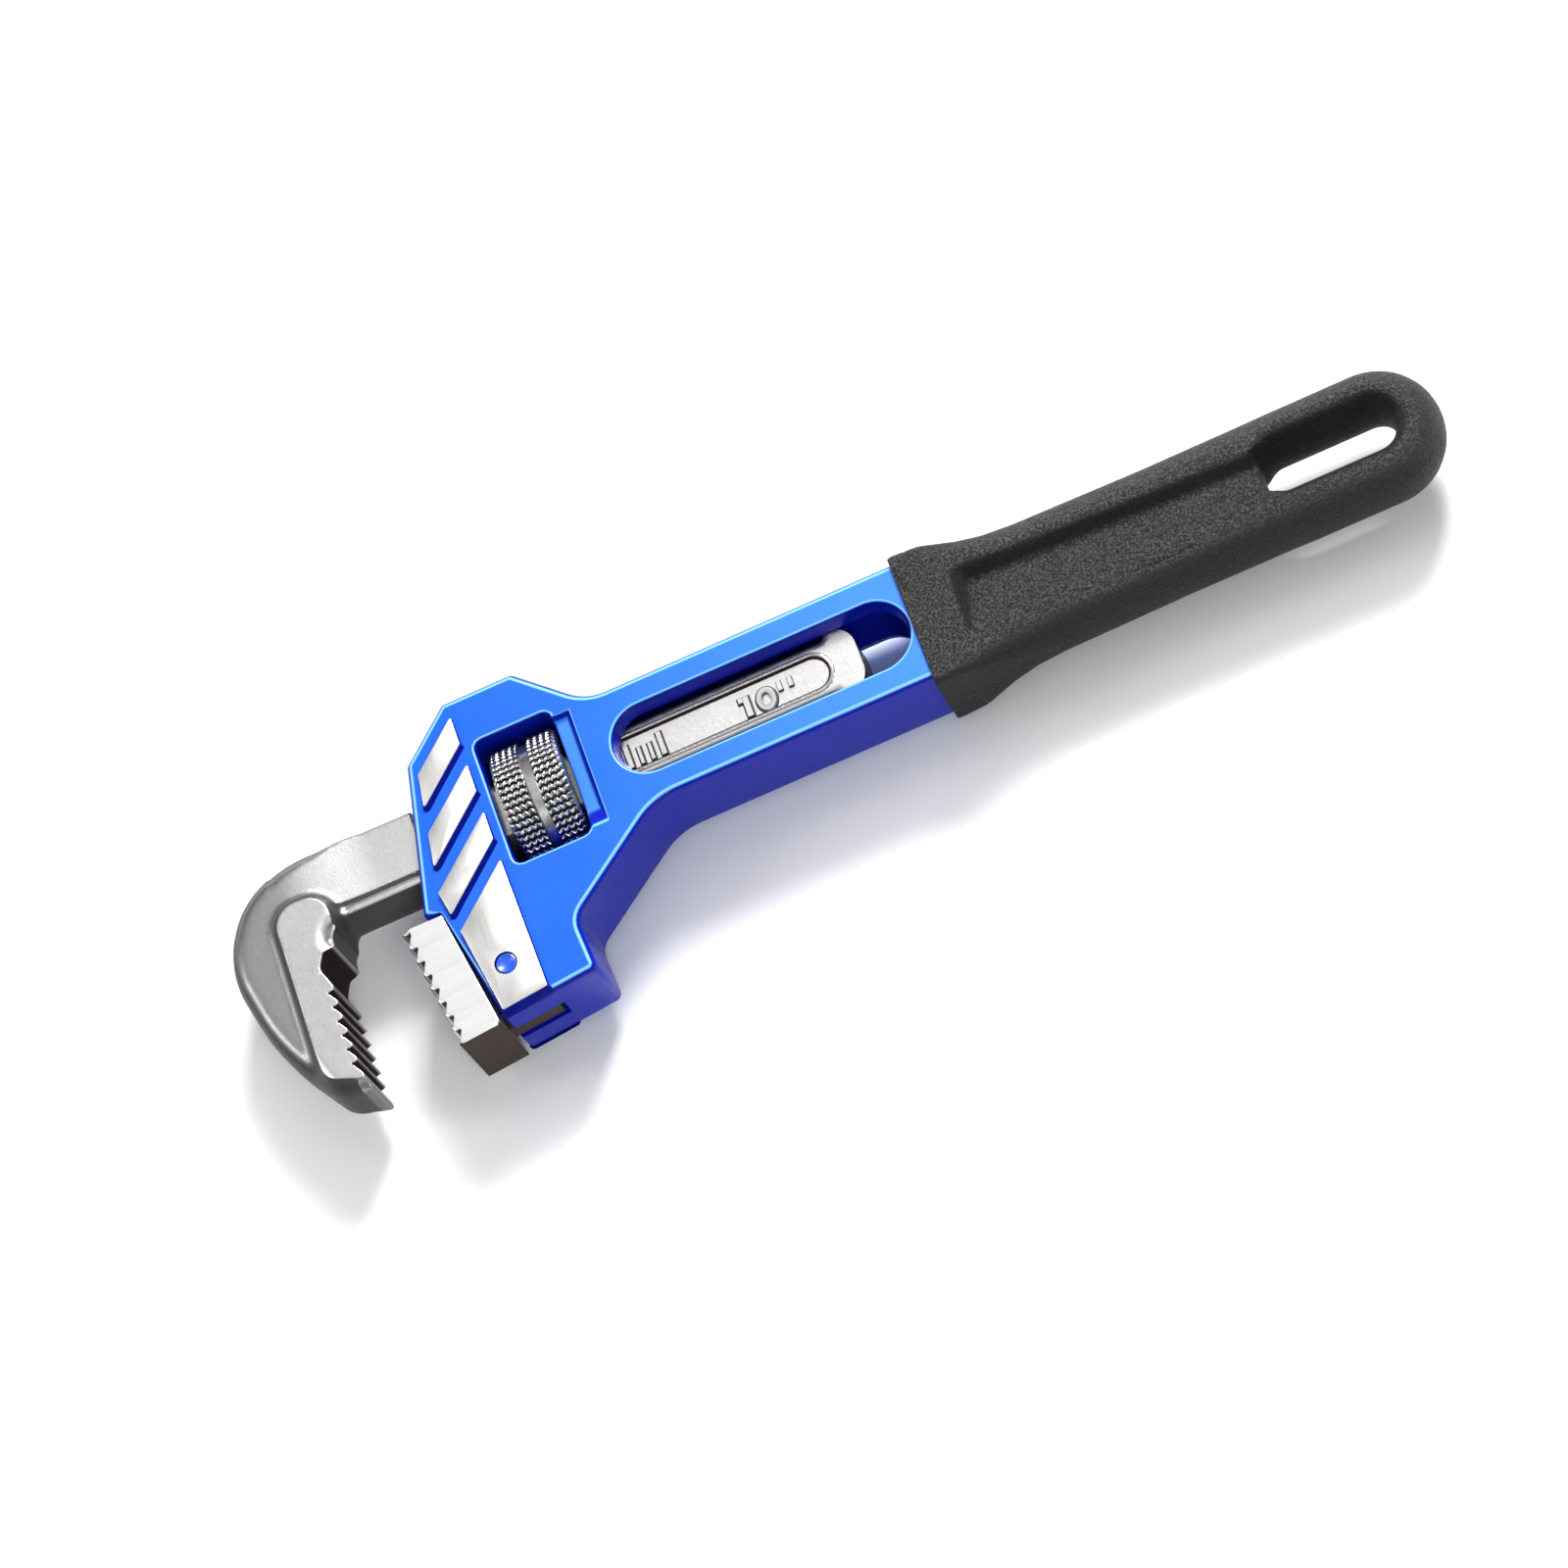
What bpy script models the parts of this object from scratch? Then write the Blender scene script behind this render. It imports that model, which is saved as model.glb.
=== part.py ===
"""Pipe wrench, 250 mm long, lying flat with its jaws towards +X.

Lengths are metres; MM turns millimetres into metres. Every piece is modelled about the
shank's axis: x = 0 is the front edge of the rubber grip, y = 0 and z = 0 are the shank's
centre line, and +Y is the side the jaws open to. The empty wrench_frame then lifts the
whole tool so that the adjusting nut, its lowest piece, touches the ground at z = 0.
"""
import math

import bmesh
import bpy
from mathutils import Vector

MM = 0.001
GAP = 0.3 * MM                    # clearance between neighbouring pieces

# whole tool
CENTRE_X = 19.65 * MM             # middle of the tool's length, from the grip's front edge
CENTRE_Y = 9.6 * MM               # middle of its width, from the shank's axis

# housing and handle casting
HALF_THICK = 9.15 * MM
HANDLE_HALF_WIDTH = 12.75 * MM
HEAD_BACK = -24.1 * MM            # back edge of the head
SEAT_TOP = (102.7 * MM, 16.3 * MM)
SEAT_END = (98.1 * MM, 41.8 * MM)
WINDOW_X = (70.5 * MM, 86.3 * MM)
WINDOW_HALF = 13.6 * MM
SLOT_X = (0.6 * MM, 61.4 * MM)
SLOT_HALF = 7.1 * MM
SLOT_WAIST = 6.4 * MM             # half width of the slot below its drafted lip
LIP_DEPTH = 3.3 * MM
CHANNEL_HALF = (9.8 * MM, 5.75 * MM)
CHANNEL_END = -3.5 * MM           # blind end of the shank's channel, under the grip
PAD_HEIGHT = 1.0 * MM

# core of the handle inside the grip
CORE_HALF = (9.8 * MM, 5.2 * MM)
CORE_STEP = -5.5 * MM
CORE_END = -102.0 * MM

# grip
GRIP_END = -106.3 * MM
HOLE_X = (-97.0 * MM, -71.0 * MM)
HOLE_HALF = 3.8 * MM
HOLLOW_X = (-73.0 * MM, -11.0 * MM)
HOLLOW_DEPTH = 1.7 * MM

# hook jaw
SHANK_HALF_THICK = 5.2 * MM
SHANK_RADIUS = 7.1 * MM
NECK_RADIUS = 8.85 * MM
SHANK_END = 11.7 * MM
NECK_START = 103.0 * MM
HOOK_START = 119.9 * MM           # where the bow thickens, clear of the head at full closing
HOOK_HALF_THICK = 6.4 * MM
JAW_HALF_THICK = 8.4 * MM
TOOTH_PITCH = 3.08 * MM

# thread
PITCH = 3.0 * MM
THREAD_CREST = 8.0 * MM
THREAD_X = (56.0 * MM, 102.5 * MM)
THREAD_STEPS = 20                 # facets a turn

# adjusting nut
NUT_X = (71.1 * MM, 84.5 * MM)
NUT_RADIUS = 12.9 * MM
NUT_FACETS = 48
NUT_BORE = 7.45 * MM

# heel jaw and its pin
HEEL_TOP = (111.2 * MM, 17.9 * MM)
HEEL_END = (107.6 * MM, 43.3 * MM)
TONGUE_HALF_THICK = 1.7 * MM
PIN_CENTRE = (94.1 * MM, 32.0 * MM)
PIN_RADIUS = 2.0 * MM

# spring pack
SPRING_X = 95.5 * MM              # the coil's axis
SPRING_FLOOR = 15.4 * MM
LEAF_Y = (9.2 * MM, 9.8 * MM)
COIL_RADIUS = 2.2 * MM
COIL_WIRE = 0.35 * MM
COIL_TURNS = 4


def collection(name):
    """A new collection in the scene."""
    made = bpy.data.collections.new(name)
    bpy.context.scene.collection.children.link(made)
    return made


def material(name, colour, roughness, metallic):
    """A Principled material of one colour."""
    made = bpy.data.materials.new(name)
    made.use_nodes = True
    shader = made.node_tree.nodes["Principled BSDF"]
    shader.inputs["Base Color"].default_value = (*colour, 1.0)
    shader.inputs["Roughness"].default_value = roughness
    shader.inputs["Metallic"].default_value = metallic
    return made


def empty(name, location, parent=None):
    """A guide that pieces are parented to."""
    made = bpy.data.objects.new(name, None)
    made.empty_display_size = 10 * MM
    made.location = location
    made.parent = parent
    PARTS.objects.link(made)
    return made


def new_object(name, mesh, home, origin=(0, 0, 0)):
    """Link a mesh under the tool's frame, with its origin moved to a point of its own."""
    shift = Vector(origin)
    for vertex in mesh.vertices:
        vertex.co -= shift
    made = bpy.data.objects.new(name, mesh)
    made.location = shift
    made.parent = FRAME
    home.objects.link(made)
    if home is CUTTERS:
        made.hide_render = True
        made.display_type = "WIRE"
    return made


def closed(mesh):
    """Weld a mesh's doubles and turn its faces outward."""
    work = bmesh.new()
    work.from_mesh(mesh)
    bmesh.ops.remove_doubles(work, verts=work.verts, dist=0.002 * MM)
    bmesh.ops.recalc_face_normals(work, faces=work.faces)
    work.to_mesh(mesh)
    work.free()
    return mesh


def rounded(corners, steps=4):
    """Outline through (x, y, radius) corners, each rounded by an arc of that radius."""
    points = []
    count = len(corners)
    for index, (x, y, radius) in enumerate(corners):
        here = Vector((x, y))
        before = Vector(corners[index - 1][:2])
        after = Vector(corners[(index + 1) % count][:2])
        into = (here - before).normalized()
        out = (after - here).normalized()
        turn = into.angle_signed(out)
        if radius == 0 or abs(turn) < 0.02:
            points.append((x, y))
            continue
        reach = radius * math.tan(abs(turn) / 2)
        start = here - into * reach
        side = 1 if turn < 0 else -1
        centre = start + Vector((-into.y, into.x)) * radius * side
        arm = start - centre
        for step in range(steps + 1):
            angle = -turn * step / steps
            across = Vector((arm.x * math.cos(angle) - arm.y * math.sin(angle),
                             arm.x * math.sin(angle) + arm.y * math.cos(angle)))
            points.append(tuple(centre + across))
    return points


def stadium(x_low, x_high, half, steps=8):
    """Slot outline with round ends."""
    points = []
    for centre, first in ((x_high - half, -0.5), (x_low + half, 0.5)):
        for step in range(steps + 1):
            angle = math.pi * (first + step / steps)
            points.append((centre + half * math.cos(angle), half * math.sin(angle)))
    return points


def plate(name, outline, half_thick, home, origin=(0, 0, 0)):
    """Flat outline with thickness, from a filled 2-D curve."""
    curve = bpy.data.curves.new(name, "CURVE")
    curve.dimensions = "2D"
    curve.fill_mode = "BOTH"
    curve.extrude = half_thick
    spline = curve.splines.new("POLY")
    spline.points.add(len(outline) - 1)
    for point, (x, y) in zip(spline.points, outline):
        point.co = (x, y, 0, 1)
    spline.use_cyclic_u = True
    guide = bpy.data.objects.new(name + "_curve", curve)
    bpy.context.scene.collection.objects.link(guide)
    mesh = bpy.data.meshes.new_from_object(guide.evaluated_get(bpy.context.evaluated_depsgraph_get()))
    bpy.data.objects.remove(guide)
    return new_object(name, closed(mesh), home, origin)


def loft(name, rings, home, origin=(0, 0, 0)):
    """Closed solid through rings of equally many points, capped at both ends."""
    work = bmesh.new()
    rows = [[work.verts.new(point) for point in ring] for ring in rings]
    count = len(rows[0])
    for low, high in zip(rows, rows[1:]):
        for index in range(count):
            after = (index + 1) % count
            work.faces.new((low[index], low[after], high[after], high[index]))
    work.faces.new(rows[0])
    work.faces.new(rows[-1])
    mesh = bpy.data.meshes.new(name)
    work.to_mesh(mesh)
    work.free()
    return new_object(name, closed(mesh), home, origin)


def block(name, low, high, home):
    """Box between two corners."""
    work = bmesh.new()
    bmesh.ops.create_cube(work, size=1.0)
    for vertex in work.verts:
        for axis in range(3):
            vertex.co[axis] = high[axis] if vertex.co[axis] > 0 else low[axis]
    mesh = bpy.data.meshes.new(name)
    work.to_mesh(mesh)
    work.free()
    return new_object(name, mesh, home)


def turned(name, profile, axis, centre, home, steps=32):
    """Solid of revolution: (radius, distance along the axis) points, closed on the axis."""
    directions = {"X": (0, 1, 2), "Y": (1, 2, 0), "Z": (2, 0, 1)}
    along, first, second = directions[axis]
    rings = []
    for radius, distance in profile:
        ring = []
        for step in range(steps):
            angle = 2 * math.pi * (step + 0.5) / steps
            point = list(centre)
            point[along] += distance
            point[first] += radius * math.cos(angle)
            point[second] += radius * math.sin(angle)
            ring.append(point)
        rings.append(ring)
    return loft(name, rings, home, centre)


def helix_tooth(name, root, crest, x_low, x_high, foot, tip, home):
    """Right-hand thread tooth about the X axis, a trapezium carried along a helix."""
    turns = (x_high - x_low) / PITCH
    stations = int(turns * THREAD_STEPS) + 1
    rings = []
    for station in range(stations):
        turn = station / THREAD_STEPS
        angle = 2 * math.pi * turn
        centre = x_low + turn * PITCH
        ring = []
        for radius, offset in ((root, -foot), (crest, -tip), (crest, tip), (root, foot)):
            ring.append((centre + offset, radius * math.cos(angle), radius * math.sin(angle)))
        rings.append(ring)
    return loft(name, rings, home)


def combine(target, tool, operation="DIFFERENCE"):
    """Cut, join or trim a piece with another."""
    modifier = target.modifiers.new(tool.name, "BOOLEAN")
    modifier.operation = operation
    modifier.solver = "EXACT"
    modifier.object = tool
    return target


def teeth(start, end, count, depth):
    """Saw teeth cut into the material at the left of a line: (x, y, 0) corners."""
    line = Vector(end) - Vector(start)
    inward = Vector((-line.y, line.x)).normalized() * depth
    corners = []
    for index in range(count):
        tip = Vector(start) + line * index / count
        notch = Vector(start) + line * (index + 0.72) / count + inward
        corners.append((tip.x, tip.y, 0))
        corners.append((notch.x, notch.y, 0))
    return corners


def make_handle(finish):
    """Housing and handle, one casting, with the channel, slot and window cut in it."""
    outline = rounded([
        (CORE_STEP, -HANDLE_HALF_WIDTH, 0), (63 * MM, -HANDLE_HALF_WIDTH, 10 * MM),
        (75 * MM, HEAD_BACK, 1.5 * MM), (89.6 * MM, HEAD_BACK, 1.2 * MM),
        (99.9 * MM, -14.9 * MM, 1.5 * MM), (106.4 * MM, SEAT_TOP[1], 0.8 * MM),
        (*SEAT_TOP, 0.8 * MM), (*SEAT_END, 0.9 * MM), (78.2 * MM, 39.8 * MM, 1.2 * MM),
        (78.8 * MM, 28.7 * MM, 4.5 * MM), (57.2 * MM, HANDLE_HALF_WIDTH, 14 * MM),
        (CORE_STEP, HANDLE_HALF_WIDTH, 0)])
    handle = plate("handle", outline, HALF_THICK, PARTS)
    core = plate("core_bar", core_outline(0), CORE_HALF[1], CUTTERS)
    combine(handle, core, "UNION")
    for tool in head_pads():
        combine(handle, tool, "UNION")
    for tool in housing_cuts():
        combine(handle, tool)
    handle.data.materials.append(finish)
    return handle


def core_outline(grow):
    """The bar inside the grip, with a round end, made larger all round by grow."""
    half = CORE_HALF[0] + grow
    corner = half * 0.96
    return rounded([(CORE_END - grow, -half, corner), (CORE_STEP + 2 * MM, -half, 0),
                    (CORE_STEP + 2 * MM, half, 0), (CORE_END - grow, half, corner)], steps=8)


def head_pads():
    """Four slanted machined pads, on both faces of the head."""
    left = 88.5 * MM
    slope = 0.9
    lean = 0.157                  # the front edge's slope from the Y axis
    front = 99.85 * MM
    seat_lean = (SEAT_END[0] - SEAT_TOP[0]) / (SEAT_END[1] - SEAT_TOP[1])
    seat = SEAT_TOP[0] - 1.4 * MM

    def front_point(y_left):
        """Where a pad's slanting edge meets the margin along the front edge or the seat."""
        to_front = (front + lean * y_left - left) / (1 - lean * slope)
        to_seat = (seat + seat_lean * (y_left - SEAT_TOP[1]) - left) / (1 - seat_lean * slope)
        reach = min(to_front, to_seat)
        return (left + reach, y_left + slope * reach, 0.3 * MM)

    tools = []
    for index in range(4):
        y_left = (-20.2 + 10.6 * index) * MM
        width = 6.2 * MM
        corners = [(left, y_left, 0.3 * MM), front_point(y_left),
                   front_point(y_left + width), (left, y_left + width, 0.3 * MM)]
        if index == 3:
            corners = [corners[0], corners[1],
                       (97.6 * MM, 40.6 * MM, 0.3 * MM), (88.1 * MM, 39.6 * MM, 0.3 * MM)]
        for side in (-1, 1):
            low = side * (HALF_THICK - 1.0 * MM)
            high = side * (HALF_THICK + PAD_HEIGHT)
            ring = rounded(corners, steps=2)
            tools.append(loft("pad_%d_%s" % (index, "top" if side > 0 else "back"),
                              [[(x, y, z) for x, y in ring] for z in (low, high)], CUTTERS))
    return tools


def housing_cuts():
    """Cutters for everything that passes through or sits in the casting."""
    window = rounded([(WINDOW_X[0], -WINDOW_HALF, 1.6 * MM), (WINDOW_X[1], -WINDOW_HALF, 1.6 * MM),
                      (WINDOW_X[1], WINDOW_HALF, 1.6 * MM), (WINDOW_X[0], WINDOW_HALF, 1.6 * MM)])
    tools = [plate("nut_window", window, 12 * MM, CUTTERS)]
    beyond = HALF_THICK + PAD_HEIGHT
    grow = (SLOT_HALF - SLOT_WAIST) * beyond / HALF_THICK
    rings = []
    for z, extra in ((-beyond, grow), (LIP_DEPTH - HALF_THICK, 0), (HALF_THICK - LIP_DEPTH, 0), (beyond, grow)):
        ring = stadium(SLOT_X[0] + SLOT_HALF - SLOT_WAIST - extra, SLOT_X[1] - SLOT_HALF + SLOT_WAIST + extra,
                       SLOT_WAIST + extra)
        rings.append([(x, y, z) for x, y in ring])
    tools.append(loft("shank_slot", rings, CUTTERS))
    wide, high = CHANNEL_HALF
    tools.append(block("shank_channel", (CHANNEL_END, -wide, -high), (110 * MM, wide, high), CUTTERS))
    tools.append(block("tongue_slot", (87.4 * MM, 17.4 * MM, -TONGUE_HALF_THICK - GAP),
                       (104 * MM, 46 * MM, TONGUE_HALF_THICK + GAP), CUTTERS))
    tools.append(turned("pin_hole", [(PIN_RADIUS + GAP, -12 * MM), (PIN_RADIUS + GAP, 12 * MM)],
                        "Z", (*PIN_CENTRE, 0), CUTTERS, 24))
    tools.append(block("leaf_relief", (87.4 * MM, 9.0 * MM, -4.2 * MM), (104 * MM, 11.0 * MM, 4.2 * MM), CUTTERS))
    tools.append(turned("coil_pocket", [(3.3 * MM, 9 * MM), (3.3 * MM, SPRING_FLOOR)],
                        "Y", (SPRING_X, 0, 0), CUTTERS, 20))
    for side, name in ((1, "thumb_recess_top"), (-1, "thumb_recess_back")):
        centre = side * (HALF_THICK - 1.5 * MM)
        low, high = sorted((centre, side * 12 * MM))
        tools.append(block(name, (67.0 * MM, -11.8 * MM, low), (WINDOW_X[0] + 1 * MM, 12.4 * MM, high), CUTTERS))
    hole = stadium(HOLE_X[0] - 3.2 * MM, HOLE_X[1] + 2.2 * MM, HOLE_HALF + 2.0 * MM)
    tools.append(plate("core_hole", hole, 12 * MM, CUTTERS))
    return tools


def grip_ring(x, half_wide, half_high, corner, centre_y=0.0, steps=5):
    """Rounded rectangle across the grip at one station."""
    ring = []
    for quadrant, (sy, sz) in enumerate(((1, 1), (-1, 1), (-1, -1), (1, -1))):
        for step in range(steps + 1):
            angle = math.pi / 2 * (quadrant + step / steps)
            ring.append((x, centre_y + sy * (half_wide - corner) + corner * math.cos(angle),
                         sz * (half_high - corner) + corner * math.sin(angle)))
    return ring


def make_grip(finish):
    """Rubber sleeve over the handle's core: flared mouth, waist, round tail and hanging hole."""
    stations = [(0, 14.3, 10.3, 2.0), (-6.4, 14.1, 10.1, 2.2), (-9, 13.8, 9.7, 3.2), (-13, 13.4, 9.2, 5.0),
                (-18, 13.1, 8.9, 6.6),
                (-24, 13.1, 8.7, 7.6), (-50, 12.9, 8.6, 8.0), (-74, 13.0, 8.6, 8.0), (-90, 13.1, 8.5, 8.0)]
    rings = [grip_ring(x * MM, wide * MM, high * MM, corner * MM) for x, wide, high, corner in stations]
    tail_centre = -93 * MM
    tail_reach = tail_centre - GRIP_END
    for step in range(1, 8):
        angle = math.pi / 2 * step / 7.35
        shrink = math.cos(angle)
        high = 8.5 * MM * (0.35 + 0.65 * math.sqrt(shrink))
        wide = max(13.1 * MM * shrink, 2.2 * MM)
        rings.append(grip_ring(tail_centre - tail_reach * math.sin(angle), wide, high, min(wide, high) * 0.93))
    grip = loft("grip", rings, PARTS)
    combine(grip, plate("grip_core", core_outline(GAP), CORE_HALF[1] + GAP, CUTTERS))
    wide = HANDLE_HALF_WIDTH + GAP
    high = HALF_THICK + GAP
    combine(grip, block("grip_mouth", (CORE_STEP - GAP, -wide, -high), (5 * MM, wide, high), CUTTERS))
    combine(grip, hole_lining(), "UNION")
    combine(grip, plate("hanging_hole", stadium(*HOLE_X, HOLE_HALF), 12 * MM, CUTTERS))
    for tool in grip_hollows():
        combine(grip, tool)
    grip.data.materials.append(finish)
    return grip


def hole_lining():
    """Rubber through the core's hole, which joins the sleeve's two faces."""
    lining = stadium(HOLE_X[0] - 3.2 * MM + GAP, HOLE_X[1] + 2.2 * MM - GAP, HOLE_HALF + 2.0 * MM - GAP)
    return plate("hole_lining", lining, CORE_HALF[1] + 1.0 * MM, CUTTERS)


def grip_hollows():
    """Shallow thumb hollow on each face, with sloping walls, and the hole's flared rims."""
    tools = []
    for side, name in ((1, "top"), (-1, "back")):
        floor = side * (8.6 * MM - HOLLOW_DEPTH)
        mouth = side * (8.6 * MM + 2 * MM)
        low = stadium(HOLLOW_X[0] - 3 * MM, HOLLOW_X[1] - 2.5 * MM, 4.5 * MM)
        high = stadium(HOLLOW_X[0] - 3 * MM, HOLLOW_X[1] + 2.5 * MM, 9.5 * MM)
        tools.append(loft("hollow_" + name, [[(x, y, floor) for x, y in low],
                                             [(x, y, mouth) for x, y in high]], CUTTERS))
        neck = stadium(*HOLE_X, HOLE_HALF)
        flare = stadium(HOLE_X[0] - 4 * MM, HOLE_X[1] + 4 * MM, HOLE_HALF + 4 * MM)
        tools.append(loft("rim_flare_" + name, [[(x, y, side * 4.5 * MM) for x, y in neck],
                                                [(x, y, side * 10.5 * MM) for x, y in flare]], CUTTERS))
    return tools


def make_hook_jaw(finish):
    """Threaded shank, neck and hook with its toothed jaw."""
    tail = SHANK_RADIUS
    wide = NECK_RADIUS + 0.1 * MM
    outline = rounded([(SHANK_END, -tail, 4.5 * MM), (50 * MM, -tail, 0), (52 * MM, -wide, 0), (122 * MM, -wide, 0),
                       (122 * MM, wide, 0), (52 * MM, wide, 0), (50 * MM, tail, 0), (SHANK_END, tail, 4.5 * MM)])
    slab = plate("shank_slab", outline, SHANK_HALF_THICK, CUTTERS)
    jaw = turned("hook_jaw", [(SHANK_RADIUS, SHANK_END - 1 * MM), (SHANK_RADIUS, NECK_START),
                              (NECK_RADIUS, NECK_START + 1.5 * MM), (NECK_RADIUS, 121.5 * MM)],
                 "X", (0, 0, 0), PARTS, 40)
    combine(jaw, helix_tooth("shank_thread", SHANK_RADIUS - 0.3 * MM, THREAD_CREST,
                             THREAD_X[0], THREAD_X[1], 0.95 * MM, 0.45 * MM, CUTTERS), "UNION")
    combine(jaw, slab, "INTERSECT")
    combine(jaw, plate("hook_bow", hook_outline(), HOOK_HALF_THICK, CUTTERS), "UNION")
    combine(jaw, plate("jaw_cheek", cheek_outline(), JAW_HALF_THICK, CUTTERS), "UNION")
    for side, name in ((1, "size_panel_top"), (-1, "size_panel_back")):
        low, high = sorted((side * (SHANK_HALF_THICK - 0.7 * MM), side * (SHANK_HALF_THICK + 1 * MM)))
        ring = stadium(17.8 * MM, 66 * MM, 3.6 * MM)
        combine(jaw, loft(name, [[(x, y, z) for x, y in ring] for z in (low, high)], CUTTERS))
    jaw.data.materials.append(finish)
    return jaw


def jaw_teeth():
    """Corners of the hook's teeth, tip to throat."""
    return teeth((126.8 * MM, 40.2 * MM), (126.8 * MM, 21.7 * MM), 6, 1.3 * MM)


def throat():
    """Corners of the land, the relief groove and the throat, teeth to neck."""
    return [(126.8 * MM, 21.7 * MM, 0), (127.2 * MM, 20.2 * MM, 0), (128.4 * MM, 17.0 * MM, 1.9 * MM),
            (126.8 * MM, 13.9 * MM, 0.8 * MM), (124.4 * MM, 13.2 * MM, 0.4 * MM),
            (124.2 * MM, 8.6 * MM, 3.0 * MM)]


def hook_outline():
    """The hook's bow in plan, from the back of the neck round to the tip and the throat."""
    return rounded([(HOOK_START, -8.5 * MM, 0), (127.5 * MM, -9.6 * MM, 25 * MM), (140.2 * MM, -5.0 * MM, 17 * MM),
                    (146.6 * MM, 8.0 * MM, 20 * MM), (142.2 * MM, 28.5 * MM, 45 * MM),
                    (132.9 * MM, 42.4 * MM, 6 * MM), (129.2 * MM, 42.2 * MM, 1.9 * MM),
                    (129.2 * MM, 13.0 * MM, 3 * MM), (124.6 * MM, 8.6 * MM, 2 * MM), (HOOK_START, 8.3 * MM, 0)])


def cheek_outline():
    """The jaw's flat cheek, flush with the ends of the teeth."""
    return rounded([(123.3 * MM, 1.8 * MM, 4.6 * MM), (133.7 * MM, 1.8 * MM, 4.6 * MM),
                    (134.4 * MM, 38.2 * MM, 3.4 * MM), (128.0 * MM, 40.8 * MM, 0.5 * MM)]
                   + jaw_teeth() + throat()[:-1] + [(123.3 * MM, 9.5 * MM, 1.0 * MM)])


def make_nut(finish):
    """Adjusting nut: two knurl bands, a groove between them, chamfered ends, threaded bore."""
    low, high = NUT_X
    middle = (low + high) / 2
    groove = NUT_RADIUS - 0.9 * MM
    end = NUT_RADIUS - 1.0 * MM
    profile = [(end, low), (NUT_RADIUS, low + 0.9 * MM), (NUT_RADIUS, middle - 1.1 * MM),
               (groove, middle - 0.8 * MM), (groove, middle + 0.8 * MM), (NUT_RADIUS, middle + 1.1 * MM),
               (NUT_RADIUS, high - 0.9 * MM), (end, high)]
    nut = turned("adjusting_nut", [(radius, x - middle) for radius, x in profile],
                 "X", (middle, 0, 0), PARTS, NUT_FACETS)
    bore = turned("nut_bore", [(NUT_BORE, low - 2 * MM), (NUT_BORE, high + 2 * MM)], "X", (0, 0, 0), CUTTERS, 40)
    turns_before = math.ceil((THREAD_X[0] - low + 2 * PITCH) / PITCH)
    thread_low = THREAD_X[0] - turns_before * PITCH
    tool = helix_tooth("nut_thread", NUT_BORE - 0.3 * MM, THREAD_CREST + 0.35 * MM, thread_low,
                       high + 2 * PITCH, 0.95 * MM + 0.25 * MM, 0.45 * MM + 0.25 * MM, CUTTERS)
    combine(nut, bore)
    combine(nut, tool)
    nut.data.materials.append(finish)
    return nut


def make_heel_jaw(finish):
    """Replaceable heel jaw: toothed block with a tongue held by a cross pin."""
    clear = GAP + 0.1 * MM
    outline = rounded([(SEAT_TOP[0] + clear, 17.0 * MM, 0), (109.6 * MM, 16.9 * MM, 0.6 * MM)]
                      + teeth(HEEL_TOP, HEEL_END, 8, 1.6 * MM)
                      + [(*HEEL_END, 0), (SEAT_END[0] + clear + 0.7 * MM, 42.5 * MM, 0)])
    jaw = plate("heel_jaw", outline, HALF_THICK, PARTS)
    tongue = rounded([(88.0 * MM, 18.0 * MM, 1 * MM), (105 * MM, 18.0 * MM, 0),
                      (103 * MM, 41.6 * MM, 0), (88.0 * MM, 40.2 * MM, 0.5 * MM)])
    combine(jaw, plate("heel_tongue", tongue, TONGUE_HALF_THICK, CUTTERS), "UNION")
    combine(jaw, bpy.data.objects["pin_hole"])
    jaw.data.materials.append(finish)
    return jaw


def make_pin(finish):
    """Roll pin through the head and the heel jaw's tongue."""
    half = HALF_THICK + PAD_HEIGHT - 0.1 * MM
    inner = PIN_RADIUS - 0.35 * MM
    pin = turned("heel_pin", [(inner, -half), (PIN_RADIUS, 0.4 * MM - half),
                              (PIN_RADIUS, half - 0.4 * MM), (inner, half)], "Z", (*PIN_CENTRE, 0), PARTS, 20)
    pin.data.materials.append(finish)
    return pin


def make_spring_pack(finish):
    """Flat spring along the shank, the rivet through it and the coil spring round the rivet."""
    leaf = block("flat_spring", (88.4 * MM, LEAF_Y[0], -3.4 * MM), (102.6 * MM, LEAF_Y[1], 3.4 * MM), PARTS)
    hole = turned("rivet_hole", [(0.9 * MM + GAP, 6 * MM), (0.9 * MM + GAP, 13 * MM)],
                  "Y", (SPRING_X, 0, 0), CUTTERS, 16)
    combine(leaf, hole)
    rivet = turned("spring_rivet", [(0.9 * MM, LEAF_Y[0]), (0.9 * MM, LEAF_Y[1] + GAP),
                                    (1.45 * MM, LEAF_Y[1] + GAP), (1.45 * MM, LEAF_Y[1] + 1.0 * MM),
                                    (0.9 * MM, LEAF_Y[1] + 1.6 * MM)], "Y", (SPRING_X, 0, 0), PARTS, 16)
    coil = make_coil()
    for piece in (leaf, rivet, coil):
        piece.data.materials.append(finish)
    return leaf, rivet, coil


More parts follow.
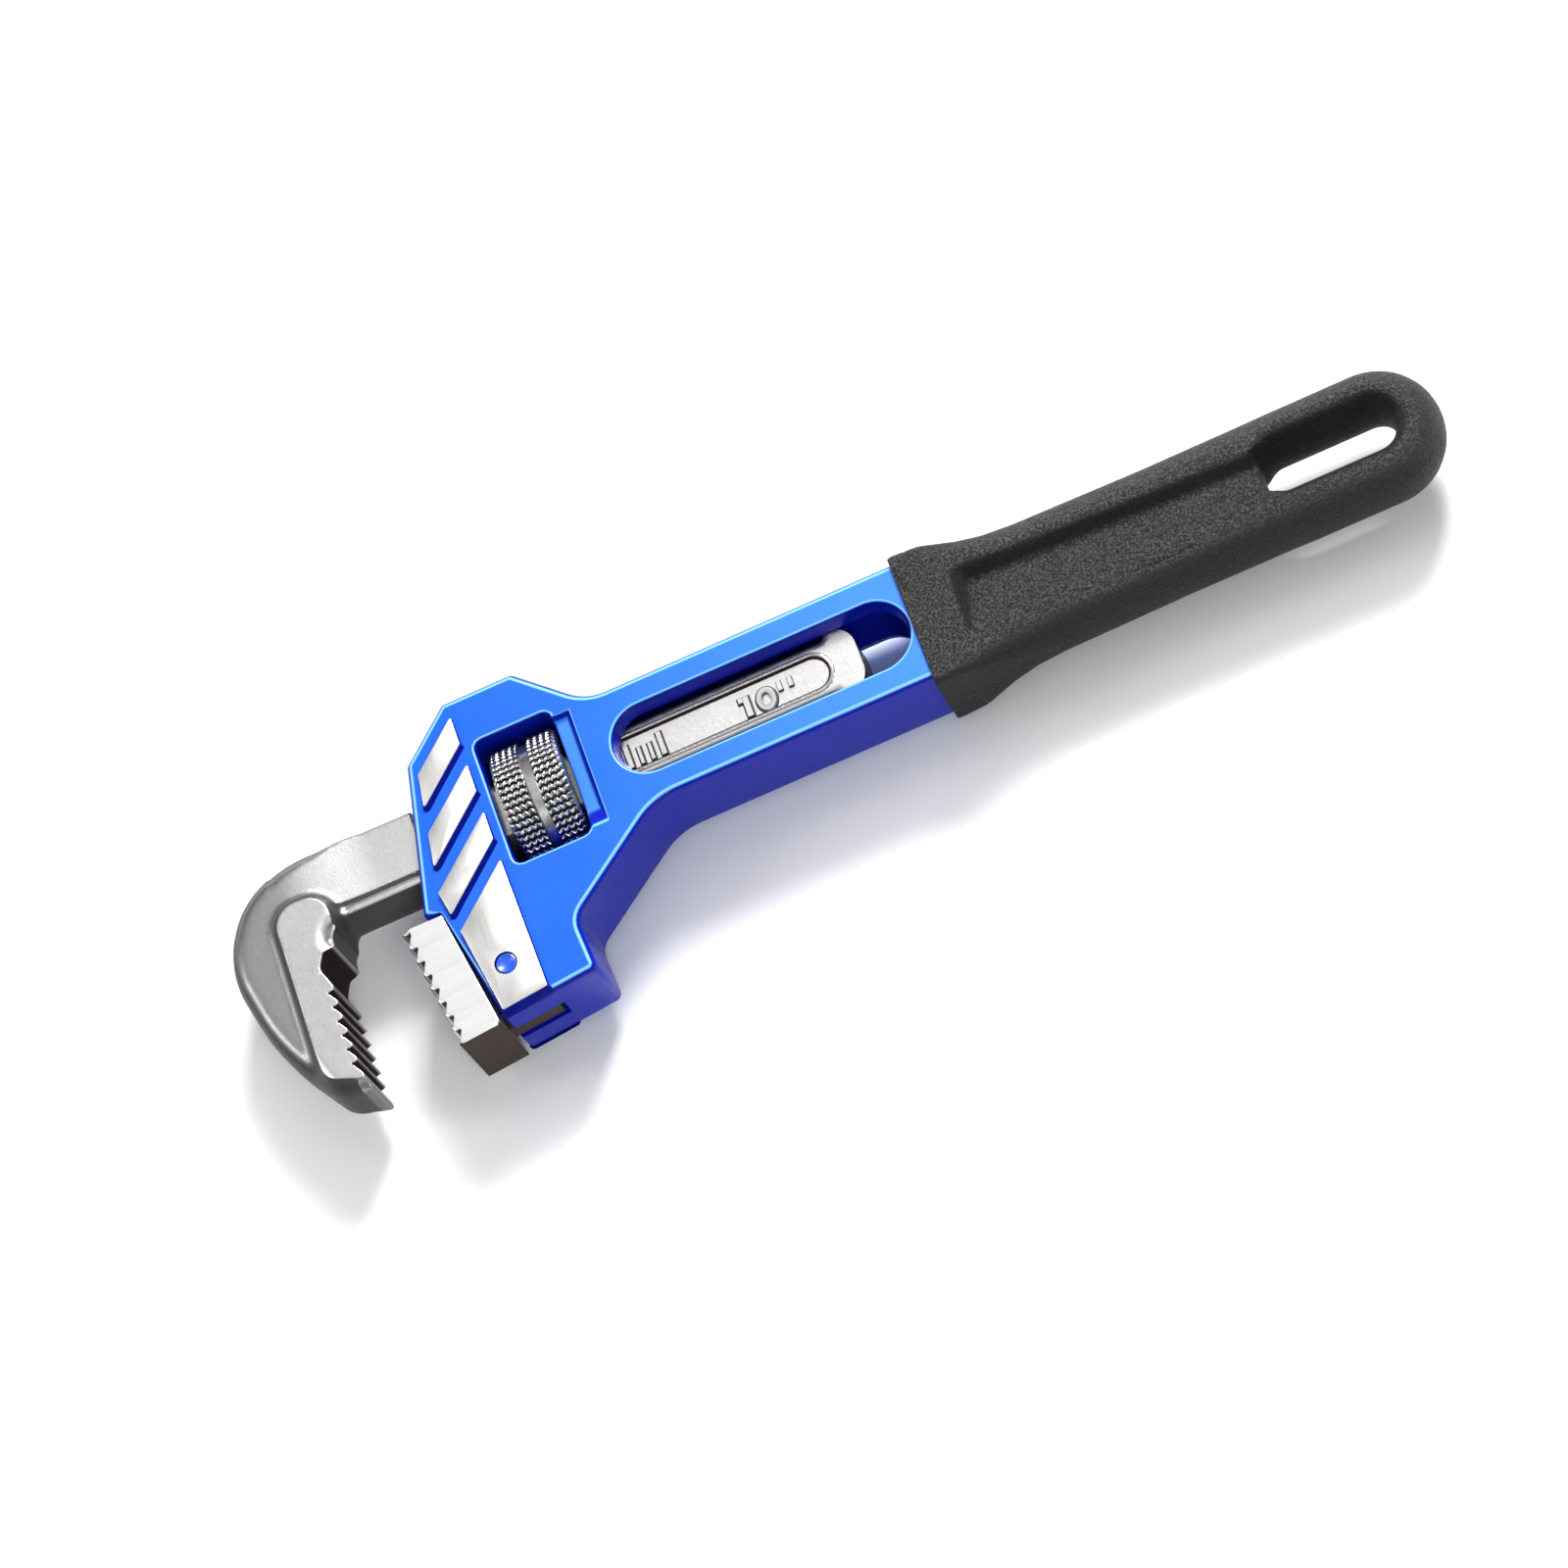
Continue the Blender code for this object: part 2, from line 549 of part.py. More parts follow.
def make_coil():
    """Coil spring, a round wire along a helix about a line parallel to Y."""
    curve = bpy.data.curves.new("coil_spring", "CURVE")
    curve.dimensions = "3D"
    curve.bevel_depth = COIL_WIRE
    curve.bevel_resolution = 1
    curve.use_fill_caps = True
    per_turn = 14
    start = LEAF_Y[1] + GAP + COIL_WIRE
    rise = SPRING_FLOOR - 0.9 * MM - COIL_WIRE - start
    spline = curve.splines.new("POLY")
    spline.points.add(COIL_TURNS * per_turn)
    for index, point in enumerate(spline.points):
        turn = index / per_turn
        angle = 2 * math.pi * turn
        point.co = (SPRING_X + COIL_RADIUS * math.cos(angle), start + rise * turn / COIL_TURNS,
                    COIL_RADIUS * math.sin(angle), 1)
    guide = bpy.data.objects.new("coil_curve", curve)
    bpy.context.scene.collection.objects.link(guide)
    mesh = bpy.data.meshes.new_from_object(guide.evaluated_get(bpy.context.evaluated_depsgraph_get()))
    bpy.data.objects.remove(guide)
    return new_object("coil_spring", closed(mesh), PARTS, (SPRING_X, start, 0))


def hang_on(pivot, pieces):
    """Parent pieces to a pivot and keep them where they are."""
    for piece in pieces:
        piece.location -= pivot.location
        piece.parent = pivot


for old in list(bpy.data.objects):
    bpy.data.objects.remove(old)
PARTS = collection("pipe_wrench")
CUTTERS = collection("cutters")
FRAME = empty("wrench_frame", (-CENTRE_X, -CENTRE_Y, NUT_RADIUS * math.cos(math.pi / NUT_FACETS)))

make_handle(material("blue_paint", (0.02, 0.16, 0.80), 0.35, 0.0))
make_grip(material("black_rubber", (0.03, 0.03, 0.03), 0.75, 0.0))
hook = make_hook_jaw(material("satin_nickel", (0.62, 0.61, 0.60), 0.32, 1.0))
nut = make_nut(material("dark_steel", (0.30, 0.30, 0.31), 0.35, 1.0))
make_heel_jaw(material("bright_steel", (0.75, 0.75, 0.75), 0.30, 1.0))
make_pin(material("pin_paint", (0.02, 0.16, 0.80), 0.40, 0.0))
springs = make_spring_pack(material("spring_steel", (0.35, 0.35, 0.37), 0.35, 1.0))

rock_pivot = empty("jaw_rock_pivot", ((NUT_X[0] + NUT_X[1]) / 2, 0, 0), FRAME)
hang_on(rock_pivot, [hook, nut, *springs])
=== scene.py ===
"""Looks of a pipe wrench lying flat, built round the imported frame.

Shapes are worked out in millimetres about the wrench's own axis: x = 0 is the grip's front edge,
y = 0 and z = 0 are the shank's centre line, and +Y is the side the jaws open to. make_piece()
turns them into metres in the frame. Most pieces are reliefs: a plan outline with a half thickness
that is a function of x and y, the same on both faces.
"""
import math

import bpy
import numpy as np
from mathutils import Matrix, Vector
from mathutils.geometry import delaunay_2d_cdt


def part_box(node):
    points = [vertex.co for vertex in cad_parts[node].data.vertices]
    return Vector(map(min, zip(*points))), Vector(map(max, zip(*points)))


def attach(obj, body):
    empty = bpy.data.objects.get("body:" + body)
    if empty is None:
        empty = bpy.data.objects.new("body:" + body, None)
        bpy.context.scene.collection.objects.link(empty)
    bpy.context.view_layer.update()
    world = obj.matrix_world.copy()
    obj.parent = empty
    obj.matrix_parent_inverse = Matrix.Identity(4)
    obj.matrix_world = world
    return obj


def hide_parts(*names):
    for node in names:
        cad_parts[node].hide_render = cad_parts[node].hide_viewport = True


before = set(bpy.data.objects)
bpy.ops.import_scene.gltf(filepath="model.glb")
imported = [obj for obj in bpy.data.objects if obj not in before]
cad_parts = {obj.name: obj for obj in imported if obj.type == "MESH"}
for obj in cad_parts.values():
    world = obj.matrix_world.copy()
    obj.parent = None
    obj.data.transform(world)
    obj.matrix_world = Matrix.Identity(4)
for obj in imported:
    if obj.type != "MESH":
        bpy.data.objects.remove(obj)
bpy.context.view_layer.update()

MM = 0.001
NUT_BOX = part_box("adjusting_nut")
AXIS_Y = (NUT_BOX[0].y + NUT_BOX[1].y) / 2
AXIS_Z = (NUT_BOX[0].z + NUT_BOX[1].z) / 2
ORIGIN = np.array([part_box("grip")[1].x, AXIS_Y, AXIS_Z])

# shared
FIT = 0.25  # clearance round a part that sits in another
THROUGH = 12  # half height of a cutter that passes right through
TURNED_STEPS = 40  # sides of the pin and of its hole

# casting
HALF_THICK = 9.15
HALF_WIDTH = 12.75
HANDLE_END = -5.4  # its end inside the sleeve
PAINT_RIM = 1.4
OPENING_RIM = 0.7
SLOT = (0.6, 61.4, 7.1)  # x of its ends, half width
SLOT_WAIST = 6.4  # half width between its lips
LIP_BOTTOM = 5.85
WINDOW = (70.5, 86.3, 13.6)  # x of its sides, half width
RECESS = (66.6, -12.0, 13.0)  # x of its side, y of its ends
RECESS_DEPTH = 1.5
CHANNEL = ((-3.5, -9.8, -5.75), (110.0, 9.8, 5.75))
TONGUE_SLOT = ((87.4, 17.4, -2.6), (106.0, 46.0, 2.6))
SEAT_TOP = (102.7, 16.3)
SEAT_END = (98.1, 41.8)
PAD_TOP = 10.15
PAD_FOOT = HALF_THICK - 0.4
PAD_LEFT = 88.5
PIN_CENTRE = (94.1, 32.0)
PIN_RADIUS = 2.0

# grip
POCKET_END = -5.2  # how far the casting goes into the sleeve
TAIL = (-93.15, 13.1)  # x of the round end's centre, radius
HOLE = (-97.0, -71.0, 3.8)  # x of its ends, half width
HOLE_RIM = (5.2, 0.8)  # width of its rounded rim along the sides and at the square end
HOLLOW_DEPTH = 3.8

# hook jaw
SHANK_RADIUS = 7.1
SHANK_FLAT = 5.2
SHANK_END = 11.7
PANEL = (17.8, 90, 3.6)  # x of its ends, half width
MARK_Z = (SHANK_FLAT - 0.9, SHANK_FLAT + 0.12)  # foot and top of the raised marks
THREAD_X = (64.0, 103.3)
THREAD_CREST = 8.0
THREAD_PITCH = 3.0
BAR_END = THREAD_X[0] + 0.2
NECK_RADIUS = 8.85
NECK_START = 103.0
ROD = (6.7, 3.25, 2.2)  # y and z of its centre, radius
CREASE = (4.2, 5.1)  # y where the flat starts to dip beside the rod, and of the crease
BOW_HALF = 6.5
CHEEK_HALF = 8.4
CHEEK_FILLET = 2.6
TOOTH_RIM = 0.12
HOOK_TEETH = ((126.8, 40.2), (126.8, 21.7))
HOOK_TOOTH_DEPTH = 1.5

# heel jaw
HEEL_TEETH = ((111.2, 17.9), (107.6, 43.3))
HEEL_TOOTH_DEPTH = 1.55
TONGUE_HALF = 2.05
SEAT_GAP = 0.12

# nut
NUT_X = (71.1, 84.5)
NUT_RADIUS = 12.85
NUT_BORE = 8.2
RIDGES = 54
BUMP_PITCH = 1.3
KNURL_DEPTH = 0.42
KNURL_ROWS = 38


# ---------------- outlines and meshes

def turned_left(direction):
    """Directions turned a quarter turn to their left."""
    return np.stack([-direction[..., 1], direction[..., 0]], axis=-1)


def outline(corners, spacing=1.0):
    """Closed outline through (x, y, corner radius, rim radius) corners, as rows of x, y, rim radius.

    Each corner becomes the arc that touches both its edges, then every stretch is divided evenly
    into pieces no longer than spacing, and the rim radius runs in a straight line between them.
    """
    points = []
    for index, (x, y, radius, rim) in enumerate(corners):
        here = np.array([x, y], float)
        before = np.array(corners[index - 1][:2], float)
        after = np.array(corners[(index + 1) % len(corners)][:2], float)
        into = (here - before) / np.linalg.norm(here - before)
        out = (after - here) / np.linalg.norm(after - here)
        turn = math.atan2(into[0] * out[1] - into[1] * out[0], into @ out)
        if radius == 0 or abs(turn) < 0.02:
            points.append((x, y, rim))
            continue
        start = here - into * radius * math.tan(abs(turn) / 2)
        centre = start + turned_left(into) * radius * math.copysign(1, turn)
        steps = max(3, math.ceil(abs(turn) * radius / spacing))
        angle = turn * np.arange(steps + 1) / steps
        arm = start - centre
        points += list(zip(centre[0] + arm[0] * np.cos(angle) - arm[1] * np.sin(angle),
                           centre[1] + arm[0] * np.sin(angle) + arm[1] * np.cos(angle),
                           np.full(steps + 1, float(rim))))
    path = np.array(points)
    step = np.roll(path, -1, axis=0) - path
    parts = np.maximum(1, np.ceil(np.hypot(step[:, 0], step[:, 1]) / spacing - 1e-6)).astype(int)
    which = np.repeat(np.arange(len(path)), parts)
    share = (np.arange(len(which)) - np.repeat(np.cumsum(parts) - parts, parts)) / parts[which]
    return path[which] + step[which] * share[:, None]


def rectangle(x_low, x_high, y_low, y_high, radius=0, rim=0):
    """Corners for outline(), anticlockwise."""
    return [(x, y, radius, rim) for x, y in (
        (x_low, y_low), (x_high, y_low), (x_high, y_high), (x_low, y_high))]


def stadium(x_low, x_high, half, rim, spacing=1.0):
    """Slot outline with two round ends, anticlockwise."""
    return outline(rectangle(x_low, x_high, -half, half, half * 0.999, rim), spacing)


def smooth_min(first, second, blend):
    """Smaller of two values, rounded over where they come within blend of each other."""
    share = np.clip(0.5 + (second - first) / (2 * blend), 0, 1)
    return second + (first - second) * share - blend * share * (1 - share)


def smoothstep(value, low, high):
    """0 below low, 1 above high, and an S curve between."""
    share = np.clip((value - low) / (high - low), 0, 1)
    return share * share * (3 - 2 * share)


def even_angles(count):
    """Even angles round a full turn, from 0."""
    return 2 * math.pi * np.arange(count) / count


def edge_field(points, loops, square_x=None):
    """Distance from each point to the nearest edge of the loops, and what the rims take off there.

    An edge of rim radius r takes r - sqrt(r^2 - (r - d)^2) off the half thickness at distance
    d < r from it, which is a quarter circle, and the most that any edge takes off counts.
    """
    start = np.vstack(loops)
    end = np.vstack([np.roll(loop, -1, axis=0) for loop in loops])
    rim_start, rim_end = start[:, 2].copy(), end[:, 2].copy()
    if square_x is not None:
        square = (np.abs(start[:, 0] - square_x) < 1e-6) & (np.abs(end[:, 0] - square_x) < 1e-6)
        rim_start[square] = rim_end[square] = 0
    along = (end - start)[:, :2]
    length = (along ** 2).sum(1)
    nearest, taken = [], []
    for part in np.array_split(points, len(points) // 1500 + 1):
        arm = part[:, None] - start[None, :, :2]
        share = np.clip((arm * along).sum(2) / length, 0, 1)
        distance = np.linalg.norm(arm - share[..., None] * along, axis=2)
        radius = rim_start + share * (rim_end - rim_start)
        reach = np.clip(radius - distance, 0, None)
        nearest.append(distance.min(1))
        taken.append((radius - np.sqrt(radius ** 2 - reach ** 2)).max(1))
    return np.concatenate(nearest), np.concatenate(taken)


def inside(points, loops):
    """Whether each point is in the material: a ray towards +X crosses the loops an odd number of times."""
    start = np.vstack(loops)[:, :2]
    end = np.vstack([np.roll(loop, -1, axis=0) for loop in loops])[:, :2]
    rise = np.where(end[:, 1] == start[:, 1], 1e-12, end[:, 1] - start[:, 1])
    found = []
    for part in np.array_split(points, len(points) // 4000 + 1):
        x, y = part[:, :1], part[:, 1:2]
        spans = (start[:, 1] > y) != (end[:, 1] > y)
        crossing = start[:, 0] + (y - start[:, 1]) / rise * (end[:, 0] - start[:, 0])
        found.append((spans & (crossing > x)).sum(1) % 2 == 1)
    return np.concatenate(found)


def signed_distance(points, loop):
    """Distance from each point to a loop's edge, negative within the loop."""
    away, _ = edge_field(points, [loop])
    return np.where(inside(points, [loop]), -away, away)


def inward_normals(loop):
    """Unit normals into the material, which lies to the left of the loop."""
    before = loop[:, :2] - np.roll(loop[:, :2], 1, axis=0)
    after = np.roll(loop[:, :2], -1, axis=0) - loop[:, :2]
    mean = before / np.linalg.norm(before, axis=1, keepdims=True) + after / np.linalg.norm(
        after, axis=1, keepdims=True)
    return turned_left(mean / np.linalg.norm(mean, axis=1, keepdims=True))


def offset_rows(loop, offsets):
    """Points beside a loop at each offset to its left."""
    normals = inward_normals(loop)
    return np.vstack([loop[:, :2] + normals * offset for offset in offsets])


def lattice(low, high, spacing):
    """Points of a triangular lattice that fills a rectangle."""
    x, y = np.meshgrid(np.arange(low[0], high[0], spacing), np.arange(low[1], high[1], spacing * 0.866))
    x = x + (np.arange(x.shape[0]) % 2)[:, None] * spacing / 2
    return np.stack([x.ravel(), y.ravel()], axis=1)


RIM_ANGLES = np.radians([11, 22, 34, 46, 58, 72, 90])
WIDE_RIM = 3
RIM_MARGIN = 0.18


def relief(loops, half_thickness, spacing=None, features=(), square_x=None, wall=None):
    """Vertices and faces of a closed piece, the same on both faces.

    Rows of points follow each loop at r (1 - cos a) inside it, for a rim of radius r and rising
    angles a, with one more just past a narrow rim, and a lattice fills the rest, which takes in the
    inner part of a wide rim. They are joined into triangles in plan, the height is
    half_thickness(points, rim drop), and the two faces are joined by walls down the loops. wall
    names, for a loop, the rows (offset to the right, height) its wall passes through.
    """
    border = np.vstack(loops)
    scatter = []
    for loop in loops:
        normals, rim = inward_normals(loop), loop[:, 2]
        for angle in RIM_ANGLES:
            offset = rim * (1 - np.cos(angle))
            row = loop[:, :2] + normals * offset[:, None]
            kept = (rim < WIDE_RIM) | (angle < 1)
            scatter.append((row[kept], offset[kept] * 0.97))
        narrow, offset = rim < WIDE_RIM, rim + RIM_MARGIN
        row = loop[:, :2] + normals * offset[:, None]
        scatter.append((row[narrow], offset[narrow] * 0.97))
    if spacing:
        net = lattice(border[:, :2].min(0), border[:, :2].max(0), spacing)
        scatter.append((net, np.full(len(net), spacing * 0.45)))
    for points, gap in features:
        scatter.append((points, np.full(len(points), gap)))
    points = np.vstack([part for part, _ in scatter])
    least = np.concatenate([gap for _, gap in scatter])
    nearest, _ = edge_field(points, loops)
    points = points[(nearest > np.maximum(least, 0.004)) & inside(points, loops)]
    _, first = np.unique(np.round(points / 0.03).astype(np.int64), axis=0, return_index=True)
    points = np.vstack([border[:, :2], points[np.sort(first)]])
    starts = np.cumsum([0] + [len(loop) for loop in loops])
    edges = np.vstack([np.stack([np.arange(a, b), np.roll(np.arange(a, b), -1)], axis=1)
                       for a, b in zip(starts, starts[1:])])
    mesh = delaunay_2d_cdt([Vector(point) for point in points], edges.tolist(), [], 0, 1e-9, False)
    if len(mesh[0]) != len(points):
        raise ValueError("an outline crosses itself: %d points became %d" % (len(points), len(mesh[0])))
    faces = np.array(mesh[2])
    corner = points[faces]
    area = np.cross(corner[:, 1] - corner[:, 0], corner[:, 2] - corner[:, 0])
    faces[area < 0] = faces[area < 0][:, ::-1]
    faces = faces[(np.abs(area) > 1e-9) & inside(corner.mean(1), loops)]
    _, drop = edge_field(points, loops, square_x)
    height = half_thickness(points, drop)
    count = len(points)
    vertices = [np.column_stack([points, height]), np.column_stack([points, -height])]
    quads = []
    total = 2 * count
    for index, (a, b) in enumerate(zip(starts, starts[1:])):
        rows = [np.arange(a, b)]
        for right, z in (wall or {}).get(index, ()):
            place = points[a:b] - inward_normals(loops[index]) * right
            vertices.append(np.column_stack([place, np.full(b - a, z)]))
            rows.append(np.arange(total, total + b - a))
            total += b - a
        rows.append(np.arange(a, b) + count)
        for high, low in zip(rows, rows[1:]):
            quads.append(np.stack([high, low, np.roll(low, -1), np.roll(high, -1)], axis=1))
    return np.vstack(vertices), [faces, faces[:, ::-1] + count, np.vstack(quads)]


def tube(rings, caps=True):
    """Vertices and faces of a grid of rings (ring, point round it, xyz), with flat ends or none."""
    rows, around = rings.shape[:2]
    index = np.arange(rows * around).reshape(rows, around)
    after = np.roll(index, -1, axis=1)
    faces = [np.stack([index[:-1], after[:-1], after[1:], index[1:]], axis=2).reshape(-1, 4)]
    if caps:
        faces += [index[:1, ::-1], index[-1:]]
    else:
        faces.append(np.stack([index[-1], after[-1], after[0], index[0]], axis=1))
    return rings.reshape(-1, 3), faces


def joined(parts):
    """Several (vertices, faces) shapes as one."""
    starts = np.cumsum([0] + [len(vertices) for vertices, _ in parts])
    return (np.vstack([vertices for vertices, _ in parts]),
            [face + start for (_, faces), start in zip(parts, starts) for face in faces])


def block(low, high):
    """Vertices and faces of a box."""
    x0, y0, z0 = low
    x1, y1, z1 = high
    ring = [[(x, y0, z0), (x, y1, z0), (x, y1, z1), (x, y0, z1)] for x in (x0, x1)]
    return tube(np.array(ring, float))


def boss(loop, z_base, z_top, bevel=0.12, flare=0.0, draft=0.0):
    """Closed block of a convex outline, with a small chamfer round the end at z_top.

    Its foot stands out by flare all round, and by draft more on the sides that face +Y.
    """
    normals = inward_normals(loop)
    side = math.copysign(1, z_top - z_base)
    foot = -flare - draft * np.clip(-normals[:, 1:], 0, 1)
    rows = [(foot, z_base), (0, z_top - side * bevel),
            (bevel * 0.4, z_top - side * bevel * 0.3), (bevel, z_top)]
    rings = np.stack([np.column_stack([loop[:, :2] + normals * offset, np.full(len(loop), z)])
                      for offset, z in rows])
    return tube(rings if side > 0 else rings[::-1])


def add_object(name, data):
    """New object in the scene."""
    made = bpy.data.objects.new(name, data)
    bpy.context.scene.collection.objects.link(made)
    return made


def make_piece(name, shape, material, sharp=32.0):
    """New mesh object in the frame's metres from a shape in the wrench's millimetres."""
    vertices, faces = shape
    mesh = bpy.data.meshes.new(name)
    sizes = np.concatenate([np.full(len(face), face.shape[1]) for face in faces])
    corners = np.concatenate([face.ravel() for face in faces])
    mesh.vertices.add(len(vertices))
    mesh.vertices.foreach_set("co", (vertices * MM + ORIGIN).astype(np.float32).ravel())
    mesh.loops.add(len(corners))
    mesh.loops.foreach_set("vertex_index", corners.astype(np.int32))
    mesh.polygons.add(len(sizes))
    mesh.polygons.foreach_set("loop_start", (np.cumsum(sizes) - sizes).astype(np.int32))
    mesh.polygons.foreach_set("loop_total", sizes.astype(np.int32))
    mesh.polygons.foreach_set("use_smooth", np.ones(len(sizes), bool))
    mesh.update(calc_edges=True)
    mesh.set_sharp_from_angle(angle=math.radians(sharp))
    if material:
        mesh.materials.append(material)
    return add_object(name, mesh)


def cut(piece, shapes, sharp=32.0):
    """Take closed shapes out of a piece, for good."""
    cutters = [make_piece("cutter", shape, None) for shape in shapes]
    for cutter in cutters:
        modifier = piece.modifiers.new("cut", "BOOLEAN")
        modifier.operation = "DIFFERENCE"
        modifier.solver = "MANIFOLD"
        modifier.object = cutter
    mesh = bpy.data.meshes.new_from_object(piece.evaluated_get(bpy.context.evaluated_depsgraph_get()))
    piece.modifiers.clear()
    piece.data = mesh
    for cutter in cutters:
        bpy.data.objects.remove(cutter)
    mesh.polygons.foreach_set("use_smooth", np.ones(len(mesh.polygons), bool))
    mesh.set_sharp_from_angle(angle=math.radians(sharp))


# ---------------- materials

class Value:
    """A shader socket that adds the Math node for what is done with it."""

    def __init__(self, finish, socket):
        self.finish = finish
        self.socket = socket

    def _math(self, operation, *values):
        node = self.finish.node("ShaderNodeMath", {"operation": operation},
                                **{"_%d" % i: v for i, v in enumerate(values)})
        return Value(self.finish, node.outputs[0])

    def __add__(self, other):
        return self._math("ADD", self, other)

    def __sub__(self, other):
        return self._math("SUBTRACT", self, other)

    def __rsub__(self, other):
        return self._math("SUBTRACT", other, self)

    def __mul__(self, other):
        return self._math("MULTIPLY", self, other)

    def size(self):
        """Distance from 0."""
        return self._math("ABSOLUTE", self)

    def step(self, low, high):
        """0 below low and 1 above high, in an S curve."""
        node = self.finish.node("ShaderNodeMapRange", {"interpolation_type": "SMOOTHSTEP"},
                                Value=self, From_Min=low, From_Max=high)
        return Value(self.finish, node.outputs["Result"])


class Finish:
    """A material's node tree, with the shader's fixed numbers set on its own sockets."""

    def __init__(self, name, **fixed):
        self.material = bpy.data.materials.new(name)
        self.material.use_nodes = True
        self.tree = self.material.node_tree
        self.shader = self.tree.nodes["Principled BSDF"]
        for socket, value in fixed.items():
            self.shader.inputs[socket.replace("_", " ")].default_value = value
        self.place = self.node("ShaderNodeTexCoord").outputs["Object"]

    def node(self, kind, settings=None, **inputs):
        """Any node: its settings first, then its sockets by name, or by number as _0, _1."""
        made = self.tree.nodes.new(kind)
        for setting, value in (settings or {}).items():
            setattr(made, setting, value)
        for name, value in inputs.items():
            socket = made.inputs[int(name[1:]) if name[0] == "_" else name.replace("_", " ")]
            if isinstance(value, Value):
                value = value.socket
            if isinstance(value, bpy.types.NodeSocket):
                self.tree.links.new(value, socket)
            else:
                socket.default_value = value
        return made

    def noise(self, scale, detail=2.0, roughness=0.5, stretch=None):
        """Noise of about scale cells to a millimetre, drawn out along an axis by stretch."""
        place = self.place
        if stretch:
            place = self.node("ShaderNodeMapping", _0=place, Scale=stretch).outputs[0]
        node = self.node("ShaderNodeTexNoise", Vector=place, Scale=scale / MM, Detail=detail,
                         Roughness=roughness)
        return Value(self, node.outputs["Fac"])

    def axis(self, name):
        """One coordinate, in the wrench's millimetres."""
        split = self.node("ShaderNodeSeparateXYZ", _0=self.place)
        index = "XYZ".index(name)
        return (Value(self, split.outputs[name]) - float(ORIGIN[index])) * (1 / MM)

    def attribute(self, name):
        """A number kept on the mesh's points."""
        node = self.node("ShaderNodeAttribute", {"attribute_name": name})
        return Value(self, node.outputs["Fac"])

    def mix(self, share, first, second):
        """Colour between two colours."""
        first, second = [(*end, 1.0) if isinstance(end, tuple) else end for end in (first, second)]
        return self.node("ShaderNodeMix", {"data_type": "RGBA"}, _0=share, _6=first, _7=second).outputs[2]

    def feed(self, socket, value):
        """Link a value to the shader."""
        self.tree.links.new(value.socket if isinstance(value, Value) else value, self.shader.inputs[socket])

    def bump(self, height, depth):
        """Surface grain: height from 0 to 1, depth in millimetres."""
        node = self.node("ShaderNodeBump", Strength=1.0, Distance=depth * MM, Height=height)
        self.feed("Normal", node.outputs["Normal"])


# Paint colours: the faces' own blue, a deeper blue painted down the sides as shade, a paler blue painted as
# sheen, and a pale line painted along the rims as highlight.
PAINT_SHADED_SIDE = (0.001, 0.010, 0.360)
PAINT_FACE = (0.004, 0.090, 0.700)
PAINT_SHEEN = (0.050, 0.225, 0.880)
PAINT_HIGHLIGHT = (0.260, 0.640, 1.000)


def blue_paint():
    """Casting paint: clear blue on the faces with a painted sheen that pales towards the handle, a deeper
    blue down the sides as painted shade, and a pale blue line along the rims as a painted highlight.
    """
    finish = Finish("blue_paint", Specular_IOR_Level=0.18, Coat_Weight=0.08, Coat_Roughness=0.12)
    height, x = finish.axis("Z").size(), finish.axis("X")
    floor_height = HALF_THICK - RECESS_DEPTH
    # top is 1 on the faces and 0 down the sides, which take the deeper blue as painted shade.
    top = height.step(HALF_THICK - 0.36, HALF_THICK - 0.14)
    # line is a thin band round the top of every rim, painted pale blue as a highlight.
    line = height.step(HALF_THICK - 0.24, HALF_THICK - 0.13) * (
        1 - height.step(HALF_THICK - 0.04, HALF_THICK - 0.003))
    # The thumb recess's floor is painted in the paler blue, a painted sheen like the faces'.
    floor = (x.step(RECESS[0], RECESS[0] + 0.2) * (1 - x.step(WINDOW[0] - 0.3, WINDOW[0] - 0.1))
             * (1 - finish.axis("Y").size().step(13.3, 13.8))
             * height.step(floor_height - 0.3, floor_height - 0.1)
             * (1 - height.step(floor_height + 0.1, floor_height + 0.5)))
    # The faces pale towards the handle as a painted sheen, with a little random tone from the noise.
    face = finish.mix(x.step(95, -10) * 0.80 + finish.noise(0.05, 3.0) * 0.25, PAINT_FACE, PAINT_SHEEN)
    body = finish.mix(floor * 0.9, finish.mix(top, PAINT_SHADED_SIDE, face), PAINT_SHEEN)
    finish.feed("Base Color", finish.mix(line * 0.72, body, PAINT_HIGHLIGHT))
    finish.feed("Roughness", finish.noise(0.6, 3.0) * 0.10 + 0.27)
    finish.bump(finish.noise(0.35, 2.0) + finish.noise(2.2, 1.0) * 0.25, 0.03)
    return finish.material


def pin_paint():
    """The casting's blue, brushed thinly over the pin's end."""
    finish = Finish("pin_paint", Coat_Weight=0.4, Coat_Roughness=0.2)
    finish.feed("Base Color", finish.mix(finish.noise(1.2, 2.0), (0.002, 0.05, 0.42), (0.01, 0.11, 0.72)))
    finish.feed("Roughness", finish.noise(2.0, 2.0) * 0.2 + 0.28)
    return finish.material


